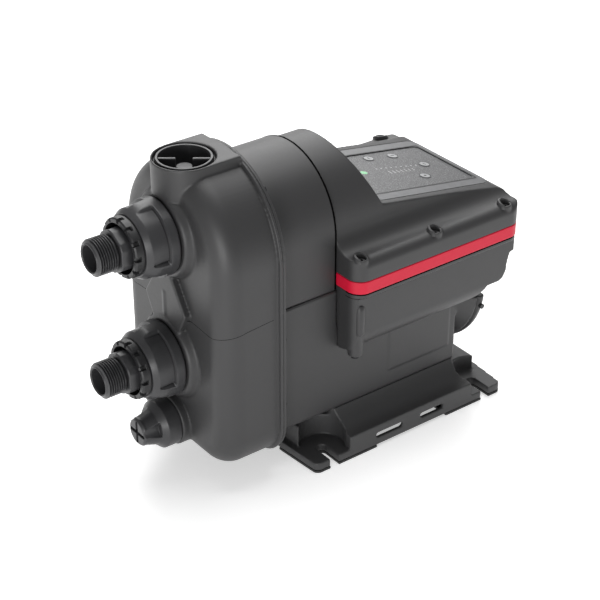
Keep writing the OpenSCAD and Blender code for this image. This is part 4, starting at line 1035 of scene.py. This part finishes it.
@dataclass(frozen=True)
class Stub:
    """Form of a threaded pipe stub: thread, wrench collar, pipe and ball."""

    height: float
    tip: float = -201.5 * MM
    thread_len: float = 20.0 * MM
    pitch: float = 2.31 * MM
    crest: float = 16.45 * MM
    root: float = 14.4 * MM
    ridge_shares: Spot = (0.08, 0.38)
    thread_start: Spot = (0.6 * MM, 2.6 * MM)
    thread_stop: float = 1.6 * MM
    chamfer: float = 1.4 * MM
    chamfer_len: float = 1.8 * MM
    bore: float = 11.8 * MM
    lead_in: float = 0.9 * MM
    lead_in_len: float = 1.2 * MM
    pipe: float = 16.9 * MM
    collar: float = 19.5 * MM
    collar_start: float = -180.345 * MM
    collar_end: float = -168.345 * MM
    collar_edge: float = 0.8 * MM
    collar_edge_len: float = 0.9 * MM
    flat: float = 18.33 * MM
    ball: float = 24.5 * MM
    ball_x: float = -143.5 * MM
    ball_start: float = 16.0 * MM
    ball_end: float = -127.5 * MM
    ball_step: float = 0.8 * MM
    edge_step: float = 0.2 * MM
    steps: int = 168

    def thread(self, along: float, angle: float) -> float:
        """Radius of the thread.

        Args:
            along: Distance from the stub's tip.
            angle: Angle about the stub's axis.

        Returns:
            The radius.
        """
        phase = (along / self.pitch - angle / FULL_TURN) % 1.0
        ridge = fall(*self.ridge_shares, abs(phase - 0.5))
        start = smoothstep(*self.thread_start, along)
        stop = fall(self.thread_len - self.thread_stop, self.thread_len, along)
        chamfer = self.chamfer * fall(0.0, self.chamfer_len, along)
        return self.root - chamfer + (self.crest - self.root) * ridge * start * stop

    def outside(self, x: float, angle: float) -> float:
        """Outside radius.

        Args:
            x: Place along the pump.
            angle: Angle about the stub's axis.

        Returns:
            The radius.
        """
        along = x - self.tip
        if along < self.thread_len:
            return self.thread(along, angle)
        if x < self.collar_start:
            return self.root
        if x <= self.collar_end:
            edge = min(x - self.collar_start, self.collar_end - x)
            soft = self.collar_edge * fall(0.0, self.collar_edge_len, edge)
            turn = (angle + math.pi / 6.0) % (math.pi / 3.0) - math.pi / 6.0
            return min(self.collar, self.flat / math.cos(turn)) - soft
        if x < self.ball_x - self.ball_start:
            return self.pipe
        return max(self.pipe, math.sqrt(max(0.0, self.ball**2 - (x - self.ball_x) ** 2)))

    def inside(self, x: float) -> float:
        """Radius of the bore, with a small lead-in at the tip."""
        return self.bore + self.lead_in * fall(0.0, self.lead_in_len, x - self.tip)

    def skin(self) -> TurnedSkin:
        """The whole form."""
        hair, edge = 0.01 * MM, 1.0 * MM
        stations = [
            *stations_between(self.tip, self.tip + self.thread_len, self.pitch / 11.0),
            self.collar_start - hair,
            *stations_between(self.collar_start, self.collar_start + edge, self.edge_step),
            *stations_between(self.collar_end - edge, self.collar_end, self.edge_step),
            self.collar_end + hair,
            self.ball_x - self.ball_start - edge,
            *stations_between(self.ball_x - self.ball_start, self.ball_end, self.ball_step),
        ]
        return TurnedSkin(stations, self.outside, self.inside, self.height, self.steps)


@dataclass(frozen=True)
class UnionNut:
    """Form of a hand nut with three ribs and three pockets. All but its height is in millimetres."""

    height: float
    start: float = -163.0
    length: float = 30.0
    nose: float = 28.3
    shoulder: float = 6.1
    shoulder_len: float = 14.0
    taper: float = 0.05
    full: float = 35.15
    rear_edge: float = 0.9
    rear_edge_len: float = 1.2
    ribs: tuple[float, float, float] = (90.0, -30.0, 210.0)
    rib_half: Spot = (10.5, 14.5)
    pocket_stop: Spot = (19.8, 21.2)
    pocket_floor: float = 31.6
    pocket_share: float = 0.97
    slits: tuple[float, float, float] = (75.5, -44.5, 195.5)
    slit_half: Spot = (1.3, 2.6)
    slit_start: Spot = (5.0, 7.0)
    slit_stop: Spot = (19.0, 20.5)
    slit_depth: float = 1.1
    ball: float = 24.55
    ball_x: float = -143.5
    ball_reach: float = 4.3
    lip: float = 22.8
    neck: float = 29.55
    hair: float = 0.01
    front_step: float = 0.5
    rear_step: float = 0.4
    steps: int = 216

    def outside(self, x: float, angle: float) -> float:
        """Outside radius: a rounded shoulder, ribs, and pockets with a slit at their lower edge.

        Args:
            x: Place along the pump.
            angle: Angle about the nut's axis.

        Returns:
            The radius.
        """
        along = x / MM - self.start
        rise = math.sin(math.pi / 2.0 * min(1.0, along / self.shoulder_len))
        skin = self.nose + self.shoulder * rise + self.taper * max(0.0, along - self.shoulder_len)
        skin = min(self.full, skin)
        skin -= self.rear_edge * fall(0.0, self.rear_edge_len, self.length - along)
        rib = math.degrees(angle_from(angle, self.ribs))
        pocket = smoothstep(*self.rib_half, rib) * fall(*self.pocket_stop, along)
        depth = max(0.0, skin - self.pocket_floor) * self.pocket_share
        slit = fall(*self.slit_half, math.degrees(angle_from(angle, self.slits)))
        slit *= smoothstep(*self.slit_start, along) * fall(*self.slit_stop, along)
        return (skin - pocket * depth - self.slit_depth * slit) * MM

    def inside(self, x: float) -> float:
        """Inside radius: a lip over the ball, then the neck.

        Args:
            x: Place along the pump.

        Returns:
            The radius.
        """
        away = x / MM - self.ball_x
        if away < -self.ball_reach - self.hair / 2.0:
            return max(self.lip, math.sqrt(max(0.0, self.ball**2 - away**2))) * MM
        return self.neck * MM

    def skin(self) -> TurnedSkin:
        """The whole form."""
        neck_start = self.ball_x - self.ball_reach
        places = stations_between(self.start, neck_start - self.hair, self.front_step)
        places += stations_between(neck_start, self.start + self.length, self.rear_step)
        stations = [place * MM for place in places]
        return TurnedSkin(stations, self.outside, self.inside, self.height, self.steps)


@dataclass(frozen=True)
class NotchedRing:
    """Form of the notched ring before a union nut. All but its height is in millimetres."""

    height: float
    start: float = -172.3
    length: float = 9.0
    radius: float = 27.0
    bore: float = 22.8
    front_edge: float = 1.2
    front_edge_len: float = 1.8
    rear_edge: float = 0.4
    rear_edge_len: float = 0.8
    notches: int = 12
    notch_half: Spot = (1.6, 2.3)
    notch_stop: Spot = (5.2, 6.2)
    notch_depth: float = 2.6
    step: float = 0.3
    steps: int = 216

    def outside(self, x: float, angle: float) -> float:
        """Outside radius.

        Args:
            x: Place along the pump.
            angle: Angle about the ring's axis.

        Returns:
            The radius.
        """
        along = x / MM - self.start
        skin = self.radius - self.front_edge * fall(0.0, self.front_edge_len, along)
        skin -= self.rear_edge * fall(0.0, self.rear_edge_len, self.length - along)
        half = math.pi / self.notches
        turn = (angle + half) % (2.0 * half) - half
        notch = fall(*self.notch_half, abs(turn) * self.radius) * fall(*self.notch_stop, along)
        return (skin - self.notch_depth * notch) * MM

    def skin(self) -> TurnedSkin:
        """The whole form."""
        places = stations_between(self.start, self.start + self.length, self.step)
        stations = [place * MM for place in places]
        return TurnedSkin(stations, self.outside, lambda x: self.bore * MM, self.height, self.steps)


@dataclass
class PipePort(SubAssembly):
    """Threaded pipe stub with its union nut, notched ring and check valve."""

    side: str
    height: float

    def build(self) -> None:
        """Makes the port's pieces."""
        self.turn(self.side + "_stub", Finish.CHARCOAL_FITTING, Stub(self.height).skin())
        self.turn(self.side + "_union_nut", Finish.CHARCOAL_FITTING, UnionNut(self.height).skin())
        self.turn(self.side + "_lock_ring", Finish.NEAR_BLACK, NotchedRing(self.height).skin())
        self.carry(Finish.SEAL_RUBBER, self.side + "_stub_seal")
        self.carry(Finish.PALE_PLASTIC, self.side + "_valve_cage")
        self.carry(Finish.CHARCOAL_FITTING, self.side + "_valve_poppet")
        self.carry(Finish.SPRING_STEEL, self.side + "_valve_spring")


@dataclass
class Plugs(SubAssembly):
    """Priming plug on the land and drain plug under the inlet."""

    softening: Softening = Softening(0.45 * MM, 4, 0.4)

    def build(self) -> None:
        """Makes the plugs."""
        self.soften("priming_plug", Finish.CHARCOAL_FITTING, self.softening)
        self.soften("drain_plug", Finish.CHARCOAL_FITTING, self.softening)
        self.carry(Finish.SEAL_RUBBER, "priming_seal", "drain_seal")


@dataclass
class MotorBody(SubAssembly):
    """Domed shell, motor housing and end cover. Places are in millimetres."""

    softening: Softening = Softening(1.1 * MM, 4, 0.3)
    dome_height: float = 150.5
    rear_x: float = 4.3
    rear_arc: Spot = (-12.0, 192.0)
    rear_width: float = 1.7 * MM
    rear_proud: float = 0.3 * MM
    front_x: float = -59.4
    front_arc: Spot = (-10.0, 190.0)
    front_width: float = 0.6 * MM
    flange_x: float = -59.0
    flange_heights: Spot = (162.0, 60.0)
    flange_gap: float = 3.0

    def build(self) -> None:
        """Makes the body's pieces."""
        shell = self.soften("upper_shell", Finish.CHARCOAL_BODY, self.softening)
        housing = self.soften("motor_housing", Finish.CHARCOAL_BODY, self.softening)
        # Strips of painted shade along the shell's joints and the housing's front edge.
        rear, front = (Vector((x, 0.0, self.dome_height)) for x in (self.rear_x, self.front_x))
        rear_shots = shots_fan((rear, rear), ACROSS, self.rear_arc, 240)
        front_shots = shots_fan((front, front), ACROSS, self.front_arc, 120)
        self.line("shell_rear_gap_shade", shell, PaintedShadeLine(rear_shots, self.rear_width, self.rear_proud))
        self.line("shell_front_gap_shade", shell, PaintedShadeLine(front_shots, self.front_width))
        ends = [(self.flange_x, height) for height in self.flange_heights]
        for hand, side in HANDS:
            edge = shots_side(ends, side, self.flange_gap)
            self.line(f"housing_front_gap_shade_{hand}", housing, PaintedShadeLine(edge, self.front_width))
        self.soften("motor_end_cover", Finish.CHARCOAL_BODY, self.softening)
        self.carry(Finish.NEAR_BLACK, "side_screw_caps")
        self.carry(Finish.SCREW_STEEL, "base_screws")


@dataclass
class ControlBox(SubAssembly):
    """Tray, red trim and domed cover of the control box. Places are in millimetres."""

    softening: Softening = Softening(0.9 * MM, 5, 0.3)
    trim_softening: Softening = Softening(0.6 * MM, 2, 0.3)
    # Each strip of painted shade along the tray's ledges, with its height and its width.
    ledges: tuple[tuple[str, float, float], ...] = (
        ("upper", 169.2, 1.1 * MM), ("lower", 165.2, 0.4 * MM)
    )
    corner_x: Spot = (19.5, 187.0)
    corner_y: float = 80.0
    front_arc: Spot = (0.0, 88.0)
    rear_arc: Spot = (92.0, 180.0)
    ledge_x: Spot = (22.0, 184.0)
    ledge_gap: float = 4.0
    screw_x: tuple[float, float, float] = (15.3, 99.6, 183.9)
    screw_y: float = 89.5
    column_at: Spot = (14.0, 90.4)
    column_profile: tuple[Spot, ...] = (
        (126.5, 3.2), (128.0, 4.3), (130.0, 4.6), (152.0, 4.6), (155.0, 4.0), (157.0, 2.6)
    )
    hood_foot: float = 201.0
    # Reach from the screw, height at the hood's ends and what its middle adds.
    hood_profile: tuple[tuple[float, float, float], ...] = (
        (4.5, 203.6, 2.6), (5.2, 204.1, 3.3), (6.4, 204.0, 3.1), (7.6, 203.2, 2.0)
    )
    hood_reach: Spot = (4.5, 7.9)
    hood_half: float = 112.0
    hood_turn: float = 0.45
    rise_spread: float = 0.8
    rise_power: float = 0.8
    hood_steps: int = 48

    def build(self) -> None:
        """Makes the box's pieces."""
        tray = self.soften("control_box", Finish.CHARCOAL_BODY, self.softening)
        for level, height, width in self.ledges:
            for hand, side in HANDS:
                line = PaintedShadeLine(self.ledge(height, side), width)
                self.line(f"ledge_gap_{level}_{hand}", tray, line)
        for hand, side in HANDS:
            self.add(self.column(f"screw_column_{hand}", side), Finish.CHARCOAL_BODY)
            for place in self.screw_x:
                name = f"screw_hood_{hand}_{round(place)}"
                self.add(self.hood(name, place, side), Finish.CHARCOAL_BODY)
        self.soften("control_cover", Finish.CHARCOAL_BODY, self.softening)
        self.soften("stripe_trim", Finish.RED_TRIM, self.trim_softening)
        self.carry(Finish.NEAR_BLACK, "cover_screws", "cable_gland")
        self.carry(Finish.SCREW_STEEL, "box_screws")

    def ledge(self, height: float, side: float) -> Shots:
        """Shots round one side of the tray at a level.

        Args:
            height: The level.
            side: Sign of the side's Y.

        Returns:
            Starts and directions.
        """
        front, rear = (Vector((x, self.corner_y * side, height)) for x in self.corner_x)
        return (
            shots_fan((front, front), LEVEL, arc_from_front(self.front_arc, side))
            + shots_side([(x, height) for x in self.ledge_x], side, self.ledge_gap)
            + shots_fan((rear, rear), LEVEL, arc_from_front(self.rear_arc, side))
        )

    def column(self, name: str, side: float) -> Mesh:
        """Round rib over a screw column at the front of the tray.

        Args:
            name: The mesh's name.
            side: Sign of the side's Y.

        Returns:
            The rib's mesh.
        """
        centre = (self.column_at[0], self.column_at[1] * side)
        rings = []
        for height, radius in self.column_profile:
            rings.append([Vector((x, y, height)) * MM for x, y in round_loop(centre, radius, 32)])
        return closed_mesh(name, rings, False)

    def hood(self, name: str, place: float, side: float) -> Mesh:
        """Raised wall on the panel's side of a cover screw's recess.

        Args:
            name: The mesh's name.
            place: Where the screw is along the pump.
            side: Sign of the side's Y.

        Returns:
            The wall's mesh.
        """
        centre = Vector((place, self.screw_y * side, 0.0))
        inner, outer = self.hood_reach
        rings = []
        for index in range(self.hood_steps + 1):
            turn = math.radians(self.hood_half * (2.0 * index / self.hood_steps - 1.0))
            rise = max(0.0, math.cos(turn * self.rise_spread)) ** self.rise_power
            aim = turn + self.hood_turn
            way = Vector((-math.sin(aim), -side * math.cos(aim), 0.0))
            top = [(reach, low + more * rise) for reach, low, more in self.hood_profile]
            section = [(inner, self.hood_foot), *top, (outer, self.hood_foot)]
            rings.append([(centre + Vector((0.0, 0.0, z)) + way * reach) * MM for reach, z in section])
        return closed_mesh(name, rings, False)


@dataclass(frozen=True)
class PanelPlane:
    """The sloping plane of the key panel, in millimetres along it, across it and out of it."""

    start: Spot = (61.0, 231.5)
    slope: float = 9.4

    def point(self, along: float, across: float, out: float) -> Vector:
        """Place of a point of the plane in the part's frame.

        Args:
            along: Distance down the slope.
            across: Distance to the left.
            out: Height over the plane.

        Returns:
            The point, in metres.
        """
        turn = math.radians(self.slope)
        x = self.start[0] + along * math.cos(turn) + out * math.sin(turn)
        z = self.start[1] - along * math.sin(turn) + out * math.cos(turn)
        return Vector((x, across, z)) * MM

    def shape(self, name: str, outlines: Sequence[tuple[Loop, float]], hoop: bool) -> Mesh:
        """A closed mesh over outlines, each at its level."""
        rings = [[self.point(*spot, level) for spot in loop] for loop, level in outlines]
        return closed_mesh(name, rings, hoop)

    def plate(self, name: str, loop: Loop, low: float, high: float) -> Mesh:
        """A thin plate with a given outline, between two levels."""
        return self.shape(name, ((loop, low), (loop, high)), False)

    def band(self, name: str, outer: Loop, inner: Loop, low: float, high: float) -> Mesh:
        """A thin closed band between two outlines and two levels."""
        return self.shape(name, ((outer, low), (outer, high), (inner, high), (inner, low)), True)


@dataclass
class KeyPanel(SubAssembly):
    """Sloping panel with its frame, keypad, keys and lights. Sizes are in millimetres."""

    plane: PanelPlane = PanelPlane()
    skin: float = -0.9
    outline_high: Spot = (131.8, 44.3)
    outline_low: float = 3.2
    outline_width: float = 1.8
    outline_top: float = 0.12
    outline_radii: Spot = (3.0, 2.0)
    print_top: float = -0.8
    dots: int = 9
    dot_start: Spot = (51.0, 8.0)
    dot_step: Spot = (5.6, -0.6)
    dot_radius: float = 0.85
    bars: int = 7
    bar_start: float = 58.0
    bar_step: float = 4.6
    bar_width: float = 0.9
    bar_foot: float = -6.5
    bar_end: float = -0.5
    bar_fall: float = 0.3
    bar_radius: float = 0.2
    fault_light: Spot = (27.2, 4.6)
    fault_radius: float = 1.5
    fault_top: float = -0.75
    key_skin: float = -0.35
    key_top: float = -0.24
    rim_radii: Spot = (5.45, 4.75)
    mark_radius: float = 0.4
    # Each key with its centre on the panel and half the size of its mark.
    keys: tuple[tuple[str, Spot, Spot], ...] = (
        ("power", (61.0, 31.5), (0.5, 2.2)),
        ("raise", (89.1, 29.8), (2.2, 0.5)),
        ("lower", (105.5, 2.1), (0.5, 2.2)),
        ("reset", (85.6, -21.7), (1.2, 1.2)),
    )

    def build(self) -> None:
        """Makes the panel's pieces."""
        self.mark_keypad()
        self.mark_keys()
        self.carry(Finish.SILVER_GREY, "panel_frame")
        self.carry(Finish.KEYPAD_GREY, "keypad")
        self.carry(Finish.KEY_GREY, "key_power", "key_raise", "key_lower", "key_reset")
        self.carry(Finish.GREEN_LIGHT, "status_light")

    def mark_keypad(self) -> None:
        """Lays the painted shade of the gap round the keypad's edge, the scale and the second light on
        the keypad.
        """
        (far, half), near, width = self.outline_high, self.outline_low, self.outline_width
        outer_radius, inner_radius = self.outline_radii
        outer = slab_loop((near, -half), (far, half), outer_radius)
        inner = slab_loop((near + width, width - half), (far - width, half - width), inner_radius)
        # A dark band of painted shade where the keypad meets the frame.
        outline = self.plane.band("keypad_outline", outer, inner, self.skin, self.outline_top)
        self.add(outline, Finish.PRINT_AND_SHADE_BLACK)
        scale = []
        for index in range(self.dots):
            spot = tuple(start + step * index for start, step in zip(self.dot_start, self.dot_step))
            scale.append((f"scale_dot_{index + 1}", round_loop(spot, self.dot_radius, 16)))
        for index in range(self.bars):
            low = (self.bar_start + self.bar_step * index, self.bar_foot)
            high = (low[0] + self.bar_width, self.bar_end - self.bar_fall * index)
            scale.append((f"scale_bar_{index + 1}", slab_loop(low, high, self.bar_radius, 2)))
        for name, loop in scale:
            self.add(self.plane.plate(name, loop, self.skin, self.print_top), Finish.PRINT_WHITE)
        lens = round_loop(self.fault_light, self.fault_radius, 24)
        self.add(self.plane.plate("fault_light", lens, self.skin, self.fault_top), Finish.RED_TRIM)

    def mark_keys(self) -> None:
        """Lays a ring and a small plain mark on each key."""
        for key, (x, y), (wide, tall) in self.keys:
            outer, inner = (round_loop((x, y), radius) for radius in self.rim_radii)
            loop = slab_loop((x - wide, y - tall), (x + wide, y + tall), self.mark_radius, 3)
            rim = self.plane.band(f"{key}_key_rim", outer, inner, self.key_skin, self.key_top)
            mark = self.plane.plate(f"{key}_key_mark", loop, self.key_skin, self.key_top)
            for mesh in (rim, mark):
                self.add(mesh, Finish.PRINT_AND_SHADE_BLACK, key + "_key")


@dataclass
class SlottedBase(SubAssembly):
    """Base with its slotted feet and rubber pads."""

    softening: Softening = Softening(1.0 * MM, 4, 0.3)

    def build(self) -> None:
        """Makes the base's pieces."""
        self.soften("base_plate", Finish.CHARCOAL_BASE, self.softening)
        self.carry(Finish.PAD_RUBBER, "foot_pads")


@dataclass
class Insides(SubAssembly):
    """Everything that the shells hide: hydraulics, shaft line, motor, tank and boards."""

    def build(self) -> None:
        """Dresses the hidden nodes."""
        self.carry(Finish.PALE_PLASTIC, "suction_tube", "diffuser")
        self.carry(Finish.STAINLESS, "impeller", "shaft", "front_bearing", "rear_bearing")
        self.carry(Finish.SCREW_STEEL, "impeller_nut")
        self.carry(Finish.SEAL_CARBON, "seal_ring")
        self.carry(Finish.SEAL_CERAMIC, "seal_seat")
        self.carry(Finish.LAMINATIONS, "rotor", "stator")
        self.carry(Finish.COPPER, "stator_windings")
        self.carry(Finish.TANK_STEEL, "pressure_tank")
        self.carry(Finish.SEAL_RUBBER, "tank_diaphragm")
        self.carry(Finish.NEAR_BLACK, "pressure_sensor")
        self.carry(Finish.BOARD_GREEN, "circuit_board", "display_board")
        self.carry(Finish.BOARD_PART, "board_parts")


@dataclass
class Studio:
    """Pale floor, soft lights and the camera."""

    eye: Vector = field(default_factory=lambda: Vector((-0.7905, -1.0660, 0.9134)))
    target: Vector = field(default_factory=lambda: Vector((0.01655, 0.0, 0.1188)))
    lens: float = 100.85
    sensor: float = 36.0
    floor_half: float = 25.0
    floor_glow: float = 0.45
    sky_strength: float = 0.3
    # Each square soft light with its place, its side in metres and its power in watts.
    lamps: tuple[tuple[str, Place, float, float], ...] = (
        ("top", (0.35, 0.5, 2.2), 2.0, 44.0),
        ("left", (-1.6, -1.25, 0.4), 0.6, 15.0),
        ("back", (0.9, 1.6, 1.3), 1.5, 22.0),
    )

    def build(self) -> None:
        """Sets up the scene round the pump."""
        bpy.context.scene.view_settings.view_transform = "Standard"
        self.floor()
        self.sky()
        for name, place, size, power in self.lamps:
            data = bpy.data.lights.new(name, "AREA")
            data.size = size
            data.energy = power
            self.aim(data, Vector(place))
        self.camera()

    def floor(self) -> None:
        """Lays the floor."""
        half = self.floor_half
        corners = [(-half, -half, 0.0), (half, -half, 0.0), (half, half, 0.0), (-half, half, 0.0)]
        mesh = bpy.data.meshes.new("studio_floor")
        mesh.from_pydata(corners, [], [(0, 1, 2, 3)])
        sheet = Sheet("studio_floor")
        sheet.set(sheet.shader, Base_Color=rgba((0.95, 0.95, 0.95)), Roughness=0.9)
        sheet.set(sheet.shader, Emission_Color=rgba(WHITE), Emission_Strength=self.floor_glow)
        sheet.set(sheet.shader, Specular_IOR_Level=0.1)
        mesh.materials.append(sheet.material)
        new_piece("studio_floor", mesh)

    def sky(self) -> None:
        """Fills the room with pale light."""
        world = bpy.data.worlds.new("studio_world")
        bpy.context.scene.world = world
        world.use_nodes = True
        background = world.node_tree.nodes["Background"]
        background.inputs["Color"].default_value = rgba(WHITE)
        background.inputs["Strength"].default_value = self.sky_strength

    def aim(self, data: bpy.types.ID, place: Vector) -> Piece:
        """Puts a light or a camera in the room so that it faces the pump.

        Args:
            data: The light's or the camera's data.
            place: Where it goes.

        Returns:
            The new object.
        """
        made = bpy.data.objects.new(data.name, data)
        bpy.context.scene.collection.objects.link(made)
        made.location = place
        made.rotation_euler = (self.target - place).to_track_quat("-Z", "Y").to_euler()
        return made

    def camera(self) -> None:
        """Puts the camera at the photograph's angle."""
        data = bpy.data.cameras.new("photo_camera")
        data.lens = self.lens
        data.sensor_width = self.sensor
        bpy.context.scene.camera = self.aim(data, self.eye)


def main() -> None:
    """Builds the whole scene in order."""
    logging.basicConfig(level=logging.INFO, format="%(name)s: %(message)s")
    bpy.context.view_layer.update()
    paint = Paint()
    Studio().build()
    parts: list[SubAssembly] = [
        PumpCasing(paint),
        *(PipePort(paint, side, height) for side, height in PORT_HEIGHTS.items()),
        Plugs(paint),
        MotorBody(paint),
        ControlBox(paint),
        KeyPanel(paint),
        SlottedBase(paint),
        Insides(paint),
    ]
    for part in parts:
        part.build()
        for piece in part.made:
            LOG.info("%s: %s, %d faces", type(part).__name__, piece.name, len(piece.data.polygons))


if __name__ == "__main__":
    main()
